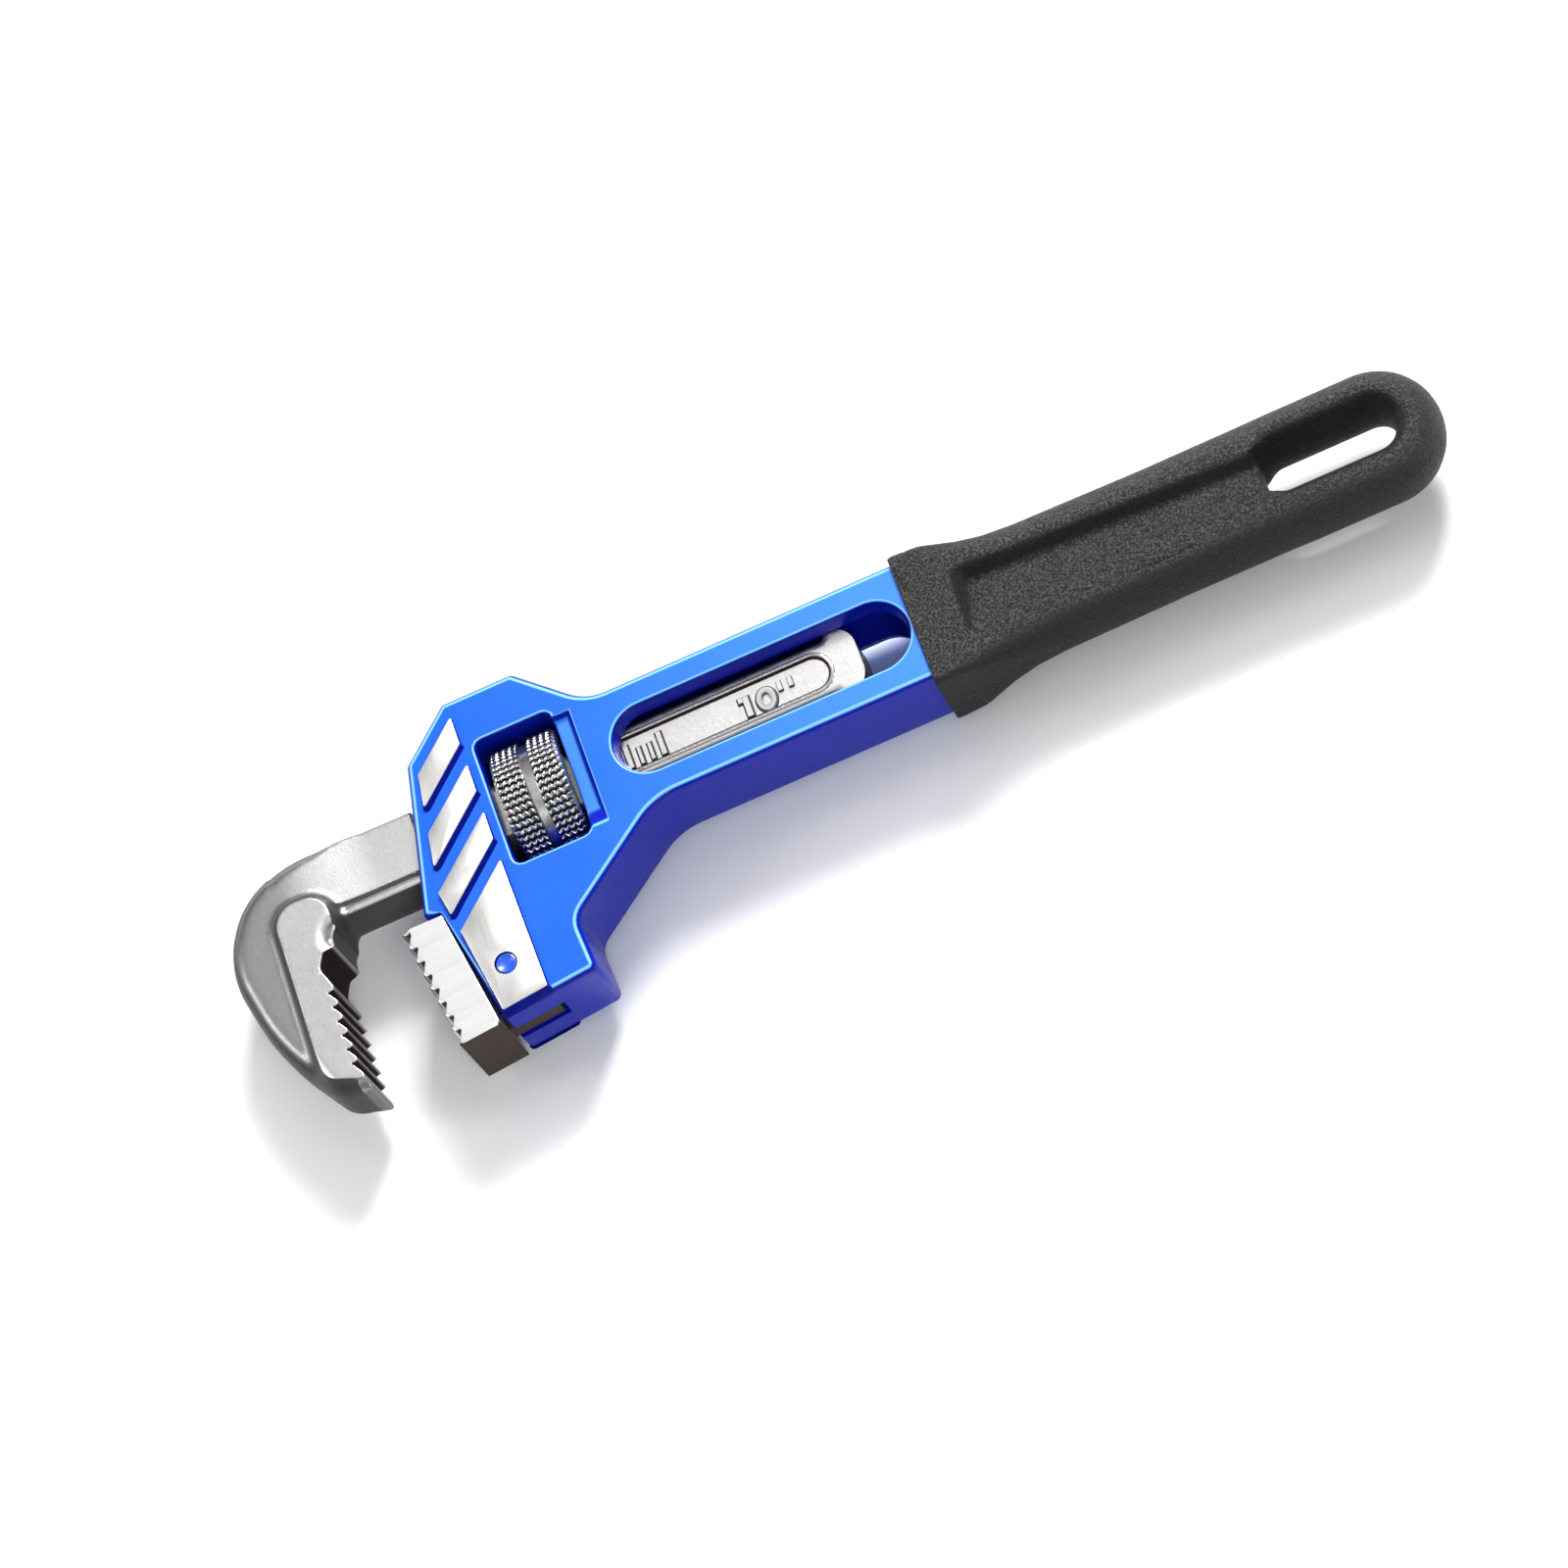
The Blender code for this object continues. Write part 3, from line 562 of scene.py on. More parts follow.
def bare_pads():
    """Paint on the pads' sides, deep navy and darkest at their foot as painted shade, and ground bare metal
    on their tops.
    """
    finish = Finish("bare_pads", Specular_IOR_Level=0.12, Coat_Weight=0.05, Coat_Roughness=0.15)
    # The pads' sides are painted deep navy, darker towards their foot, as shade.
    finish.feed("Base Color", finish.mix(finish.axis("Z").size().step(HALF_THICK, PAD_TOP),
                                         (0.001, 0.006, 0.20), (0.001, 0.008, 0.26)))
    finish.feed("Roughness", finish.noise(0.6, 3.0) * 0.10 + 0.30)
    ground = finish.axis("Z").size().step(PAD_TOP - 0.17, PAD_TOP - 0.12)
    lines = finish.noise(1.6, 2.0, 0.6, (1.0, 0.06, 1.0))
    bump = finish.node("ShaderNodeBump", Strength=0.5, Distance=0.01 * MM, Height=lines)
    metal = finish.node("ShaderNodeBsdfPrincipled", Metallic=1.0, Base_Color=finish.mix(
        finish.noise(0.12, 3.0), (0.64, 0.625, 0.60), (0.74, 0.73, 0.71)),
        Roughness=lines * 0.15 + 0.36, Normal=bump.outputs["Normal"])
    blend = finish.node("ShaderNodeMixShader", _0=ground, _1=finish.shader.outputs[0], _2=metal.outputs[0])
    output = finish.tree.nodes["Material Output"]
    finish.tree.links.new(blend.outputs[0], output.inputs["Surface"])
    return finish.material


def satin_nickel():
    """Bead-blasted and plated forging, with painted shade: near black on the teeth, in the groove at their
    foot, along the size panel's bead and down the marks' sides, dark grey down the bow below the cheek, and
    nearer black where the surface leans steeply.
    """
    finish = Finish("satin_nickel", Specular_IOR_Level=0.2)
    # dark is painted shade: the teeth, the groove at their foot, lines by the size panel's bead and the
    # marks' sides go near black and dull.
    dark = finish.attribute("shade_and_reflection").step(0.12, 0.55)
    cloud = finish.noise(0.09, 3.0)
    plain = finish.mix(cloud, (0.56, 0.545, 0.53), (0.68, 0.67, 0.65))
    # The bow is painted dark grey below the cheek's height as shade.
    bow = finish.axis("X").step(114, 136) * (1 - finish.axis("Z").size().step(6.9, 8.1))
    plain = finish.mix(bow * 0.75, plain, (0.26, 0.25, 0.24))
    # Painted shade by slope: the steeper the surface leans, the nearer black and the less metallic, the rod's
    # crease too.
    lean = finish.attribute("lean").step(0.008, 0.34)
    plain = finish.mix(lean * 0.94, plain, (0.045, 0.042, 0.040))
    finish.feed("Base Color", finish.mix(dark, plain, (0.020, 0.012, 0.010)))
    finish.feed("Metallic", (1 - dark * 0.95) * (1 - lean * 0.5))
    finish.feed("Roughness", finish.noise(1.1, 3.0) * 0.14 + 0.28 + dark * 0.40 + lean * 0.12)
    finish.bump(finish.noise(1.9, 3.0, 0.6), 0.03)
    return finish.material


def bright_steel():
    """Ground jaw insert: bright sides with fine lines, a dark brown end face painted in place of a dark
    reflection, and tooth notches painted dark as shade.
    """
    finish = Finish("bright_steel", Specular_IOR_Level=0.2)
    lines = finish.noise(1.3, 2.0, 0.6, (0.08, 1.0, 1.0))
    # end is dark brown where the notches are painted as shade and the end face as a dark reflection.
    end = finish.attribute("shade_and_reflection").step(0.12, 0.6)
    plain = finish.mix(finish.noise(0.15, 2.0), (0.78, 0.77, 0.76), (0.88, 0.87, 0.86))
    finish.feed("Base Color", finish.mix(end, plain, (0.050, 0.036, 0.030)))
    finish.feed("Metallic", 1 - end * 0.95)
    finish.feed("Roughness", lines * 0.14 + 0.28 + end * 0.30)
    finish.bump(lines, 0.012)
    return finish.material


def dark_steel():
    """Knurled nut: bright crests, painted nearly black as shade in the cuts between them and in the bore."""
    finish = Finish("dark_steel", Metallic=1.0)
    crest = finish.attribute("crest")
    wear_and_sheen = finish.noise(0.4, 2.0).step(0.3, 0.7)
    bright = finish.mix(wear_and_sheen, (0.42, 0.41, 0.40), (0.62, 0.61, 0.60))
    # Painted shade: low crest numbers, in the knurl's cuts and the bore, go nearly black.
    finish.feed("Base Color", finish.mix(crest.step(0.25, 0.75), (0.012, 0.012, 0.014), bright))
    finish.feed("Roughness", finish.noise(1.5, 2.0) * 0.12 + 0.20)
    return finish.material


def black_rubber():
    """Moulded rubber with a fine sandy grain, its pale specks painted as light: full on flat crowns and
    fading down steep sides.
    """
    finish = Finish("black_rubber", Specular_IOR_Level=0.45)
    grain = finish.noise(2.1, 3.0, 0.7)
    speck = grain.step(0.40, 0.70)
    # Painted light and shade: the grain's pale specks show on flat crowns and fade where the surface leans
    # steeply.
    wear_and_sheen = 1 - finish.attribute("lean").step(0.004, 0.30)
    plain = finish.mix(finish.noise(0.04, 2.0), (0.003, 0.003, 0.0033), (0.008, 0.0075, 0.007))
    finish.feed("Base Color", finish.mix(speck * (wear_and_sheen * 0.88 + 0.08), plain, (0.145, 0.142, 0.137)))
    finish.feed("Roughness", 0.60 - speck * 0.22)
    finish.bump(grain, 1.3)
    return finish.material


def spring_steel():
    """Oiled spring steel with a blue-brown temper."""
    finish = Finish("spring_steel", Metallic=1.0)
    finish.feed("Base Color", finish.mix(finish.noise(0.5, 2.0), (0.20, 0.19, 0.21), (0.34, 0.30, 0.27)))
    finish.feed("Roughness", finish.noise(2.0, 2.0) * 0.15 + 0.28)
    finish.bump(finish.noise(4.0, 2.0), 0.01)
    return finish.material


BLUE_PAINT = blue_paint()
BARE_PADS = bare_pads()
SATIN_NICKEL = satin_nickel()
BRIGHT_STEEL = bright_steel()
DARK_STEEL = dark_steel()
BLACK_RUBBER = black_rubber()
SPRING_STEEL = spring_steel()
PIN_PAINT = pin_paint()


def mark(piece, name, values):
    """Keep a number on each of a mesh's points for its material."""
    attribute = piece.data.attributes.new(name, "FLOAT", "POINT")
    attribute.data.foreach_set("value", values.astype(np.float32))


def lean_of(piece):
    """How far each point's normal leans from straight up or down: 0 on flats, 1 on upright walls."""
    normals = np.empty(len(piece.data.vertices) * 3, np.float32)
    piece.data.vertex_normals.foreach_get("vector", normals)
    return 1 - np.abs(normals[2::3].astype(float))


# ---------------- casting

def recess_depth(points):
    """Thumb recess beside the nut: a flat floor with sloping sides that runs out towards the heel."""
    x, y = points[:, 0], points[:, 1]
    side = np.minimum((x - RECESS[0]) * 1.15, (y - RECESS[1]) * 1.6)
    ramp = (RECESS[2] - y) * RECESS_DEPTH / 4.6
    depth = smooth_min(smooth_min(side, ramp, 0.12), RECESS_DEPTH, 0.12)
    return np.where(x < WINDOW[0] + 0.4, np.clip(depth, 0, None), 0)


def casting_outline():
    """Plan of the housing and handle, from the grip round the back of the head and the heel."""
    rim = PAINT_RIM
    return outline([
        (HANDLE_END, -HALF_WIDTH, 0, rim), (63, -HALF_WIDTH, 10, rim), (75, -24.1, 1.5, rim),
        (89.6, -24.1, 1.2, rim), (99.9, -14.9, 1.5, rim), (106.4, SEAT_TOP[1], 0.8, rim),
        (*SEAT_TOP, 0.8, 0.25), (*SEAT_END, 0.9, rim), (78.2, 39.8, 1.2, rim),
        (78.8, 28.7, 4.5, rim), (57.2, HALF_WIDTH, 14, rim), (HANDLE_END, HALF_WIDTH, 0, rim)])


def turned(profile):
    """Rings of (radius, height) pairs spun about the heel pin's axis, from the bottom up."""
    radius, height = np.array(profile, float)[:, :1], np.array(profile, float)[:, 1:]
    angle = even_angles(TURNED_STEPS)
    return np.stack([PIN_CENTRE[0] + radius * np.cos(angle), PIN_CENTRE[1] + radius * np.sin(angle),
                     np.repeat(height, TURNED_STEPS, axis=1)], axis=2)


def pin_hole():
    """Cutter for the heel pin's hole."""
    return tube(turned([(PIN_RADIUS + FIT, -THROUGH), (PIN_RADIUS + FIT, THROUGH)]))


def make_casting():
    """Housing and handle: the slot's lips lean in to a waist, and the shank's channel runs through."""
    slot = stadium(*SLOT, OPENING_RIM)[::-1]
    left, right, half = WINDOW
    window = outline(rectangle(left, right, -half, half, 1.6, OPENING_RIM))[::-1]
    lean = SLOT[2] - SLOT_WAIST
    recess = lattice((RECESS[0] - 0.5, RECESS[1] - 0.5), (WINDOW[0], RECESS[2] + 0.6), 0.24)
    shape = relief([casting_outline(), slot, window],
                   lambda points, drop: HALF_THICK - recess_depth(points) - drop,
                   features=[(recess, 0.7)],
                   wall={1: [(lean, LIP_BOTTOM), (lean, -LIP_BOTTOM)]})
    casting = make_piece("handle_casting", shape, BLUE_PAINT)
    cut(casting, [block(*CHANNEL), block(*TONGUE_SLOT), pin_hole()])
    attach(casting, "housing")
    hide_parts("handle")


def pad_outlines():
    """The four slanted pads, each from the window's side to the margin along the head's edge."""
    pitch, wide, radius, slope, lean = 10.6, 6.2, 0.3, 0.9, 0.157
    seat_lean = (SEAT_END[0] - SEAT_TOP[0]) / (SEAT_END[1] - SEAT_TOP[1])
    seat = SEAT_TOP[0] - 1.4

    def front_point(y_left):
        to_front = (99.85 + lean * y_left - PAD_LEFT) / (1 - lean * slope)
        to_seat = (seat + seat_lean * (y_left - SEAT_TOP[1]) - PAD_LEFT) / (1 - seat_lean * slope)
        reach = min(to_front, to_seat)
        return (PAD_LEFT + reach, y_left + slope * reach, radius, 0)

    pads = []
    for index in range(4):
        low = -20.2 + pitch * index
        corners = [(PAD_LEFT, low, radius, 0), front_point(low), front_point(low + wide),
                   (PAD_LEFT, low + wide, radius, 0)]
        if index == 3:
            corners[2:] = [(97.6, 40.6, radius, 0), (88.1, 39.6, radius, 0)]
        pads.append(outline(corners, 3.0))
    return pads


def make_pads():
    """Raised pads on both faces of the head, ground bare on top."""
    shapes = [boss(pad, side * PAD_FOOT, side * PAD_TOP, flare=0.2, draft=1.3)
              for pad in pad_outlines() for side in (1, -1)]
    pads = make_piece("head_pads", joined(shapes), BARE_PADS)
    cut(pads, [pin_hole()])
    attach(pads, "housing")


def make_pin():
    """Heel pin: a turned bar whose ends are dished."""
    end = [(0.02, 9.55), (1.0, 9.62), (1.45, 9.85), (1.75, 9.98), (1.95, 9.9), (PIN_RADIUS, 9.7)]
    profile = [(radius, -z) for radius, z in end] + end[::-1]
    pin = make_piece("heel_pin_end", tube(turned(profile)), PIN_PAINT)
    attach(pin, "housing")
    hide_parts("heel_pin")


# ---------------- grip

GRIP_STATIONS = np.array([
    # x, half width, half thickness, corner radius
    (0, 14.3, 10.3, 2.0), (-6.4, 14.1, 10.1, 2.2), (-9, 13.8, 9.7, 3.2), (-13, 13.4, 9.2, 5.0),
    (-18, 13.1, 8.9, 6.6), (-24, 13.1, 8.7, 7.6), (-50, 12.9, 8.6, 8.0), (-74, 13.0, 8.6, 8.0),
    (-93.2, 13.1, 8.5, 8.0)])[::-1]


def grip_size(x):
    """Half width, half thickness and corner radius of the grip along its length."""
    return [np.interp(x, GRIP_STATIONS[:, 0], GRIP_STATIONS[:, column]) for column in (1, 2, 3)]


def grip_outline():
    """Plan of the grip: the stations' half widths, closed by a half circle at the tail."""
    centre, radius = TAIL
    x = np.concatenate([np.linspace(centre, -24, 70), np.linspace(-23, 0, 24)])
    wide, _, corner = grip_size(x)
    angle = np.linspace(math.pi / 2, 3 * math.pi / 2, 42)[1:-1]
    tail = np.stack([centre + radius * np.cos(angle), radius * np.sin(angle), 0 * angle + 8.0], axis=1)
    across = np.linspace(-wide[-1], wide[-1], 29)[1:-1]
    mouth = np.stack([0 * across, across, 0 * across + 0.5], axis=1)
    return np.vstack([np.stack([x, -wide, corner], axis=1), mouth,
                      np.stack([x, wide, corner], axis=1)[::-1], tail])


def hollow_outline():
    """Plan of the thumb hollow, which narrows towards the hanging hole."""
    return outline([(-9.3, -7.6, 3.0, 0), (-75.0, -4.4, 2.0, 0)][::-1]
                   + [(-9.3, 8.2, 3.0, 0), (-52.0, 9.0, 9.0, 0), (-75.0, 7.2, 3.0, 0)], 1.5)


def grip_height(points, drop):
    """Sleeve's half thickness: rounded section, less the thumb hollow, less the hanging hole's rim.

    The rim is a quarter of an ellipse, high (1 - sqrt(1 - (1 - d / a)^2)) off the thickness at
    distance d from the hole, for a rim a wide. The hollow is deepest towards -Y, where its wall
    slopes, and shallow towards +Y, where its wall is steep with a crease at its foot.
    """
    x, y = points[:, 0], points[:, 1]
    _, high, _ = grip_size(x)
    low, end, half = HOLE
    reach = (end - low) / 2 - half
    away = np.hypot(np.maximum(np.abs(x - (low + end) / 2) - reach, 0), y) - half
    away = np.where(x > end - half, np.hypot(np.maximum(x - end, 0), np.maximum(np.abs(y) - half, 0)), away)
    rim = HOLE_RIM[1] + (HOLE_RIM[0] - HOLE_RIM[1]) * smoothstep(-x, 70.6, 75.0)
    turn = 1 - np.clip(away / rim, 0, 1)
    hole_drop = high * (1 - np.sqrt(np.maximum(1 - turn * turn, 0)))
    wall = np.maximum(-signed_distance(points, hollow_outline()), 0)
    across = np.clip((y + 6) / 14, 0, 1)
    crease = 0.45 * np.exp(-((wall - 0.35) / 0.35) ** 2) * smoothstep(across, 0.80, 0.95) * (wall > 0)
    hollow = HOLLOW_DEPTH * (1 - 0.8 * across) * smoothstep(wall, -0.4, 4.2 - 3.4 * across)
    hollow = (hollow + crease) * (1 - smoothstep(-x, 71, 75.5))
    return np.maximum(smooth_min(high - drop - hollow, high - hole_drop, 0.5), 0.3)


def make_grip():
    """Rubber sleeve: hollow on both faces, hole at the tail, mouth cut square round the casting."""
    low, end, half = HOLE
    hole = outline([(low, -half, 3.7, 0), (end, -half, 0.8, 0), (end, half, 0.8, 0), (low, half, 3.7, 0)],
                   0.6)[::-1]
    rows = offset_rows(hole, [HOLE_RIM[0] * (1 - math.cos(math.radians(angle)))
                              for angle in (8, 16, 25, 35, 46, 58)])
    edge = offset_rows(hollow_outline(), [-0.3, 0, 0.2, 0.4, 0.7, 1.1])
    shape = relief([grip_outline(), hole], grip_height, spacing=0.8, features=[(rows, 0.03), (edge, 0.5)])
    grip = make_piece("grip_sleeve", shape, BLACK_RUBBER, 45)
    wide, high = HALF_WIDTH + FIT, HALF_THICK + FIT
    cut(grip, [block((POCKET_END, -wide, -high), (3, wide, high))], 45)
    # lean sets the rubber's painted light: pale specks on the flat crowns, few down the steep sides.
    mark(grip, "lean", lean_of(grip))
    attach(grip, "housing")
    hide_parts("grip")


# ---------------- hook jaw

def saw_teeth(start, end, count, depth, share):
    """Corners of saw teeth: each tip on the line, each notch a share of a pitch on and depth to the left."""
    start, line = np.array(start, float), np.array(end, float) - np.array(start, float)
    inward = turned_left(line) / np.linalg.norm(line) * depth
    corners = []
    for index in range(count):
        corners.append((*(start + line * index / count), 0, TOOTH_RIM))
        corners.append((*(start + line * (index + share) / count + inward), 0, TOOTH_RIM))
    return corners


def hook_outline():
    """Plan of the neck and hook: round the bow to the tip, back along the teeth to the throat."""
    return outline([
        (NECK_START, -NECK_RADIUS, 0, 8.5), (113, -NECK_RADIUS, 0, 8.2), (129.0, -9.0, 24, 5.6),
        (140.2, -5.0, 17, 5.0), (146.5, 8.0, 20, 4.8), (142.2, 28.5, 45, 4.6), (133.0, 42.4, 6.0, 3.2),
        (126.0, 43.0, 0.5, 1.0)]
        + saw_teeth(*HOOK_TEETH, 6, HOOK_TOOTH_DEPTH, 0.84)
        + [(*HOOK_TEETH[1], 0, TOOTH_RIM), (127.2, 20.2, 0, 0.15), (128.4, 17.0, 1.9, 0.25),
           (126.8, 13.9, 0.8, 0.3), (124.4, 13.2, 0.4, 0.5), (124.3, NECK_RADIUS, 3.4, 3.2),
           (117, NECK_RADIUS, 0, 8.0), (NECK_START, NECK_RADIUS, 0, 8.5)], 0.6)


def cheek_outline():
    """The flat cheek in plan, taken past the teeth, which trim it."""
    return outline([(123.1, 1.8, 4.6, 0), (133.7, 1.8, 4.6, 0), (134.4, 38.2, 3.4, 0), (128.0, 40.9, 0.4, 0),
                    (120.5, 41.5, 0, 0), (120.5, 13.7, 0, 0), (124.0, 13.1, 0, 0), (123.1, 9.2, 0.8, 0)], 0.5)


def hook_height(points, drop):
    """Half thickness of the hook.

    The neck is a bar of circular section with two flats and a round rod along its inner edge, the
    bow a rounded slab, and the cheek stands up from them with a hollow fillet: its rise fades as
    (1 - d / w)^2 at distance d.
    """
    x, y = points[:, 0], points[:, 1]
    share = smoothstep(x, 116, 125)
    base = NECK_RADIUS + (BOW_HALF + 0.4 - NECK_RADIUS) * share
    flat = SHANK_FLAT + (BOW_HALF - SHANK_FLAT) * smoothstep(x, 112, 132)
    body = smooth_min(base - drop, flat, 0.5)
    rod = ROD[1] + np.sqrt(np.maximum(ROD[2] ** 2 - (y - ROD[0]) ** 2, 0))
    ribbed = np.minimum(np.maximum(flat - 0.6 * smoothstep(y, 4.3, CREASE[1]), rod),
                        np.sqrt(np.maximum(NECK_RADIUS ** 2 + 1.2 - y * y, 0)))
    body = np.where(y > CREASE[0], body + (ribbed - body) * (1 - smoothstep(x, 121.5, 124.5)), body)
    cheek = cheek_outline()
    away, _ = edge_field(points, [cheek])
    within = inside(points, [cheek])
    fade = np.where(within, 1, np.clip(1 - away / CHEEK_FILLET, 0, 1) ** 2)
    small = np.clip(drop, 0, 1.2)
    bevel = 0.12 * np.clip(1 - away / 0.25, 0, 1) ** 2
    return body + (CHEEK_HALF - small - bevel - body) * fade


SHANK_STATIONS = [(SHANK_END, 4.5, 0.9), (18.5, 0, 6.9), (BAR_END, 0, 6.9)]  # x, corner radius, rim radius


def shank_height(points, drop):
    """Half thickness of the plain shank: flats on a round bar, and a sunk size panel in a thin bead."""
    away = signed_distance(points, stadium(*PANEL, 0))
    bead = 0.20 * np.exp(-((away - 0.25) / 0.22) ** 2)
    floor = 0.45 * smoothstep(-away, 0.05, 0.40)
    return smooth_min(SHANK_RADIUS - drop, SHANK_FLAT, 0.35) + bead - floor


def thread_rings():
    """Rings along the thread: a right-hand helix of trapezium teeth on a round bar with two flats.

    At angle a the radius is (r^-p + f^-p)^(-1 / p), which is close to the smaller of the thread's
    radius r and the flat's f = flat / |sin a|.
    """
    low, high = THREAD_X
    x = np.arange(low, high, 0.15)[:, None]
    angle = even_angles(96)[None]
    wave = np.abs((x / THREAD_PITCH - angle / (2 * math.pi)) % 1 - 0.5) * 2
    tooth = np.clip((wave - 0.36) / 0.30, 0, 1)
    ends = smoothstep(x, low, low + 2) * (1 - smoothstep(x, high - 2, high))
    radius = SHANK_RADIUS + (THREAD_CREST - SHANK_RADIUS) * tooth * ends
    flat = SHANK_FLAT / np.maximum(np.abs(np.sin(angle)), 1e-3)
    power = 24.0
    radius = (radius ** -power + flat ** -power) ** (-1 / power)
    return np.stack([x + 0 * radius, radius * np.cos(angle), radius * np.sin(angle)], axis=2)


def bar_mark(x_low, x_high, y_low, y_high, side, flare=0.9):
    """A raised bar on the size panel."""
    loop = outline(rectangle(x_low, x_high, y_low, y_high), 9)
    return boss(loop, side * MARK_Z[0], side * MARK_Z[1], 0.08, flare)


def ring_mark(centre, half, stroke, side):
    """A raised oval ring: an ellipse carried with a flat-topped section."""
    angle = even_angles(36)
    unit = np.stack([np.cos(angle), np.sin(angle)], axis=1)
    foot, top = MARK_Z
    rows = [(stroke / 2 + 0.9, foot), (stroke / 2, top), (-stroke / 2, top), (-stroke / 2 - 0.25, foot)]
    rings = np.stack([np.column_stack([np.array(centre) + unit * (np.array(half) + grow),
                                       np.full(len(angle), side * z)]) for grow, z in rows])
    return tube(rings if side > 0 else rings[::-1], caps=False)


def size_marks():
    """Plain raised figures and graduations in the size panel, on both faces."""
    shapes = []
    for side in (1, -1):
        shapes += [bar_mark(34.4, 35.6, -1.3, 3.0, side), bar_mark(35.4, 36.5, -1.3, -0.3, side),
                   ring_mark((31.2, 0.9), (1.35, 1.85), 1.0, side),
                   bar_mark(25.4, 26.3, -1.6, 0.5, side, 0.30), bar_mark(27.6, 28.5, -1.6, 0.5, side, 0.30),
                   bar_mark(52.4, 53.4, -1.9, 3.0, side), bar_mark(54.8, 55.5, -0.6, 3.0, side),
                   bar_mark(57.0, 57.7, -0.6, 3.0, side), bar_mark(59.2, 60.2, -1.9, 3.0, side)]
    return shapes


def border_of(places, count):
    """Which of a relief's points lie on the edges of its two faces; count is its outline's length."""
    border = np.zeros(len(places), bool)
    border[:count] = True
    border[len(places) // 2:len(places) // 2 + count] = True
    return border


def shank_bar():
    """Plain shank with extra points along the panel's edge."""
    panel = stadium(*PANEL, 0, 0.5)
    rows = offset_rows(panel, [-0.9, -0.65, -0.5, -0.35, -0.25, -0.15, -0.05, 0.05, 0.14, 0.22, 0.31, 0.4,
                               0.5, 0.8])
    shank = outline([(x, side * SHANK_RADIUS, radius, rim) for side, stations in (
        (-1, SHANK_STATIONS), (1, SHANK_STATIONS[::-1])) for x, radius, rim in stations], 0.7)
    return relief([shank], shank_height, spacing=0.8, features=[(rows, 0.2)], square_x=BAR_END)


def neck_and_hook():
    """Neck, bow and cheek with extra points round the cheek and along the rod's crease."""
    rows = offset_rows(cheek_outline(), [0.5, 0.25, 0.16, 0.08, 0, -0.15, -0.35, -0.6, -1.0, -1.5, -2.0,
                                         -CHEEK_FILLET])
    along, across = np.meshgrid(np.arange(NECK_START, 125, 0.6), np.arange(CREASE[0], 6.1, 0.2))
    crease = np.stack([along.ravel(), across.ravel()], axis=1)
    return relief([hook_outline()], hook_height, spacing=0.6, features=[(rows, 0.06), (crease, 0.1)],
                  square_x=NECK_START)


def hook_painted_shade(hook):
    """Painted shade over the hook: dark on the teeth and in the groove at their foot, each on the outline
    only.
    """
    x, y = hook[:, 0], hook[:, 1]
    (line, tip), (_, foot) = HOOK_TEETH
    teeth = np.clip((x - line - 0.1) / 0.9, 0, 1) * (
        (y > foot - 0.2) & (y < tip) & (x < line + HOOK_TOOTH_DEPTH + 0.1))
    groove = np.clip((x - 124.2) / 1.5, 0, 1) * 0.75 * ((y > 13.0) & (y < 20.0) & (x < 129.0))
    return np.where(border_of(hook, len(hook_outline())), np.maximum(teeth, groove), 0)


def bar_painted_shade(bar):
    """Painted shade over the plain shank: a dark line within the panel's bead and a fainter one outside it.
    """
    away = signed_distance(bar[:, :2], stadium(*PANEL, 0, 0.5))
    lines = np.exp(-((away + 0.25) / 0.22) ** 2) + 0.7 * np.exp(-((away - 0.72) / 0.14) ** 2)
    return lines * (np.abs(bar[:, 2]) > 4) * (bar[:, 0] < BAR_END - 0.1)


def make_hook_jaw():
    """Shank, thread, neck and hook, one forging in closed stretches, with the size marks."""
    hook, bar, marks = neck_and_hook(), shank_bar(), joined(size_marks())
    shape = joined([hook, bar, tube(thread_rings()), marks])
    jaw = make_piece("hook_and_shank", shape, SATIN_NICKEL)
    places, count = hook[0], len(hook[0])
    shade_and_reflection = np.zeros(len(shape[0]))
    shade_and_reflection[:count] = hook_painted_shade(places)
    shade_and_reflection[count:count + len(bar[0])] = bar_painted_shade(bar[0])
    # The marks' sides, below the shank's flat, are painted dark as shade.
    shade_and_reflection[-len(marks[0]):] = 0.95 * (np.abs(marks[0][:, 2]) < SHANK_FLAT)
    mark(jaw, "shade_and_reflection", shade_and_reflection)
    x, y = places[:, 0], places[:, 1]
    lean = lean_of(jaw)
    # Less painted shade by slope over the throat and teeth, and a dark line painted as shade along the rod's
    # crease.
    lean[:count] *= np.where((x < 128.5) & (y > 13), 0.25, 1)
    crease = np.exp(-((y - CREASE[1]) / 0.28) ** 2) * (1 - smoothstep(x, 121, 124))
    lean[:count] = np.maximum(lean[:count], 0.8 * crease * (np.abs(places[:, 2]) > 4))
    mark(jaw, "lean", lean)
    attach(jaw, "hook")
    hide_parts("hook_jaw")


# ---------------- heel jaw

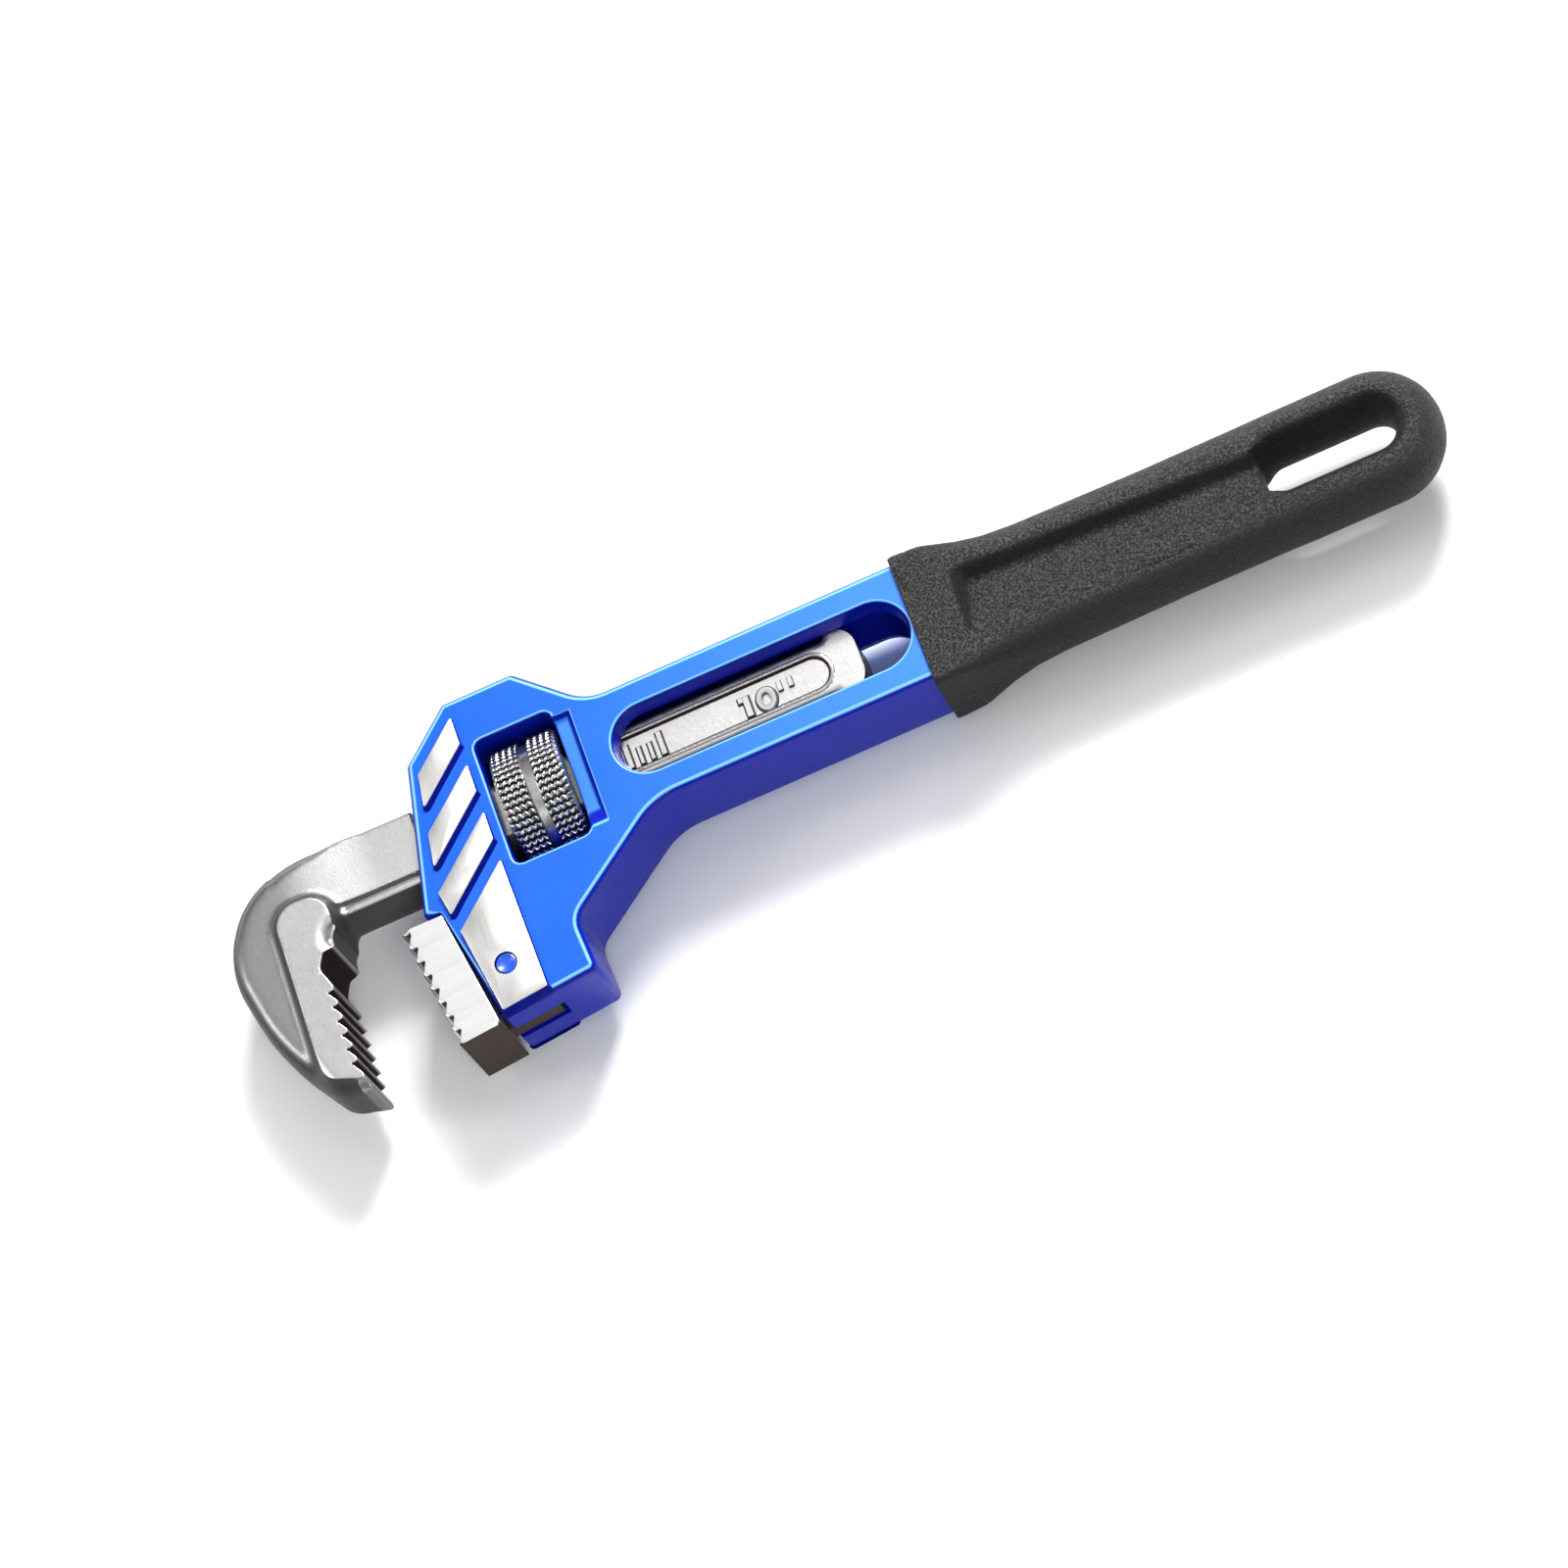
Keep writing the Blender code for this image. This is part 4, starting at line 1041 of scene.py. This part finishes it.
def make_heel_jaw():
    """Toothed insert of the heel with its tongue."""
    (top_x, top_y), (end_x, end_y) = HEEL_TEETH
    plan = outline([(SEAT_TOP[0] + SEAT_GAP, 17.0, 0.3, 0.25), (109.6, 16.9, 0.6, 0.25)]
                   + saw_teeth(*HEEL_TEETH, 8, HEEL_TOOTH_DEPTH, 0.15)
                   + [(end_x, end_y, 0, 0.15), (SEAT_END[0] + SEAT_GAP + 0.7, 42.5, 0, 0.2)], 1.0)
    body = relief([plan], lambda points, drop: HALF_THICK - drop)
    tongue = outline([(88.2, 18.2, 1.0, 0.1), (104.8, 18.2, 0, 0.1), (101.5, 41.5, 0, 0.1),
                      (88.4, 40.3, 0.5, 0.1)])
    shape = joined([body, relief([tongue], lambda points, drop: TONGUE_HALF - drop)])
    jaw = make_piece("heel_jaw_insert", shape, BRIGHT_STEEL)
    x, y = body[0][:, 0], body[0][:, 1]
    line = top_x - (y - top_y) * (top_x - end_x) / (end_y - top_y)
    notch_shade = np.clip((line - x) / 1.2, 0, 1) * (x > 105.5) * (y > 17.5)
    # The hidden tongue is dark all over, the end face dark brown as a painted dark reflection, and the tooth
    # notches dark as painted shade.
    shade_and_reflection = np.ones(len(shape[0]))
    shade_and_reflection[:len(x)] = np.where(y > 42.35, 1.0, notch_shade) * border_of(body[0], len(plan))
    mark(jaw, "shade_and_reflection", shade_and_reflection)
    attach(jaw, "housing")
    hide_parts("heel_jaw")


# ---------------- adjusting nut

def knurl(along, angle):
    """Knurl of wavy ridges from 0 in its cuts to 1 on its crests.

    The ridges run along the nut and swing from side to side in a triangle wave, and a shallower
    cut crosses them at each turn of the wave, so that a ridge is a row of bumps.
    """
    swing = np.abs((along / BUMP_PITCH) % 1 - 0.5) * 2
    ridge = 1 - np.abs((angle * RIDGES / (2 * math.pi) + 0.30 * swing) % 1 - 0.5) * 2
    return np.clip(np.minimum(ridge * 1.22, 0.40 + swing * 0.9), 0, 1)


def make_nut():
    """Nut: two knurled bands, a smooth groove between them, chamfers and a plain bore."""
    low, high = NUT_X
    middle = (low + high) / 2
    chamfer, groove = 0.55, 1.15
    band = np.linspace(0, 1, KNURL_ROWS)
    left = low + chamfer + band * (middle - groove - low - chamfer)
    right = high - chamfer - band[::-1] * (high - chamfer - middle - groove)
    x = np.concatenate([[low, low, low + 0.02], left, [middle - 1.0],
                        np.linspace(middle - 0.85, middle + 0.85, 5),
                        [middle + 1.0], right, [high - 0.02, high, high]])
    full, end = np.full(KNURL_ROWS, NUT_RADIUS), [NUT_BORE, NUT_RADIUS - 0.95, NUT_RADIUS - 0.62]
    step = [NUT_RADIUS - 0.75]
    base = np.concatenate([end, full, step, np.full(5, NUT_RADIUS - 0.95), step, full, end[::-1]])
    banded = base == NUT_RADIUS
    angle = even_angles(12 * RIDGES)
    height = knurl(x[:, None] - middle, angle[None])
    radius = base[:, None] - KNURL_DEPTH * banded[:, None] * (1 - height)
    rings = np.stack([x[:, None] + 0 * radius, radius * np.cos(angle), radius * np.sin(angle)], axis=2)
    nut = make_piece("knurled_nut", tube(rings, caps=False), DARK_STEEL, 40)
    # crest sets the nut's painted shade: low in the knurl's cuts and the bore, high on crests, chamfers and
    # groove.
    crest = np.where(banded[:, None], height, np.where(base[:, None] > NUT_BORE + 0.1, 0.9, 0.25))
    mark(nut, "crest", crest.ravel())
    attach(nut, "nut")
    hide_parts("adjusting_nut")


make_casting()
make_pads()
make_pin()
make_grip()
make_hook_jaw()
make_heel_jaw()
make_nut()
for name in ("flat_spring", "spring_rivet", "coil_spring"):
    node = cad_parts[name]
    node.data.materials.clear()
    node.data.materials.append(SPRING_STEEL)


# ---------------- floor, light and camera

def make_floor():
    """Plain square of pale floor under everything."""
    finish = Finish("pale_floor", Roughness=0.9)
    finish.feed("Base Color", finish.mix(finish.noise(0.01, 2.0), (0.93, 0.93, 0.93), (0.95, 0.95, 0.95)))
    mesh = bpy.data.meshes.new("floor")
    mesh.from_pydata([(-4, -4, 0), (4, -4, 0), (4, 4, 0), (-4, 4, 0)], [], [(0, 1, 2, 3)])
    mesh.materials.append(finish.material)
    floor = add_object("floor", mesh)


def area_light(name, place, size, watts):
    """Rectangular soft light turned towards the middle of the wrench."""
    data = bpy.data.lights.new(name, "AREA")
    data.shape = "RECTANGLE"
    data.size, data.size_y = size
    data.energy = watts
    light = add_object(name, data)
    light.location = place
    light.rotation_euler = (Vector((0, 0, 0.012)) - Vector(place)).to_track_quat("-Z", "Y").to_euler()


def make_studio():
    """Key from the front and above, a graded softbox over the far side, and a dim surround.

    The surround is dark at the horizon and lighter overhead, so that round metal shows bands, and
    it is a plain pale backdrop where it is looked at directly.
    """
    world = bpy.data.worlds.new("surround")
    world.use_nodes = True
    tree = world.node_tree
    way = tree.nodes.new("ShaderNodeTexCoord")
    split = tree.nodes.new("ShaderNodeSeparateXYZ")
    ramp = tree.nodes.new("ShaderNodeValToRGB")
    for index, (position, grey) in enumerate(((0.05, 0.10), (0.45, 0.16), (0.80, 0.55), (1.0, 0.75))):
        stop = ramp.color_ramp.elements[index] if index < 2 else ramp.color_ramp.elements.new(position)
        stop.position = position
        stop.color = (grey * 0.98, grey, grey * 1.02, 1)
    tree.links.new(way.outputs["Generated"], split.inputs[0])
    tree.links.new(split.outputs["Z"], ramp.inputs[0])
    seen = tree.nodes.new("ShaderNodeMix")
    seen.data_type = "RGBA"
    seen.inputs[7].default_value = (0.86, 0.87, 0.88, 1)
    tree.links.new(tree.nodes.new("ShaderNodeLightPath").outputs["Is Camera Ray"], seen.inputs[0])
    tree.links.new(ramp.outputs[0], seen.inputs[6])
    tree.links.new(seen.outputs[2], tree.nodes["Background"].inputs["Color"])
    bpy.context.scene.world = world
    area_light("key", (-0.55, -1.0, 0.95), (0.5, 0.5), 34)
    area_light("softbox", (-0.25, -0.60, 1.20), (0.8, 0.8), 1.9)
    area_light("fill", (-0.2, 0.9, 1.0), (0.5, 0.5), 5)
    area_light("front", (0.95, -0.25, 0.65), (0.3, 0.6), 3)


CAMERA_PLACE = (-0.12134, 0.56574, 1.16937)
CAMERA_RIGHT = (-0.91107, 0.31883, -0.26136)
CAMERA_UP = (-0.39857, -0.84322, 0.36073)
CAMERA_BACK = (-0.10537, 0.43282, 0.89530)


def make_camera():
    """Long lens above the head's open side."""
    data = bpy.data.cameras.new("camera")
    data.lens = 157.5
    data.sensor_width = 36
    camera = add_object("camera", data)
    turn = Matrix((CAMERA_RIGHT, CAMERA_UP, CAMERA_BACK)).transposed()
    camera.matrix_world = Matrix.Translation(CAMERA_PLACE) @ turn.to_4x4()
    bpy.context.scene.camera = camera


make_floor()
make_studio()
make_camera()
bpy.context.scene.view_settings.view_transform = "Standard"
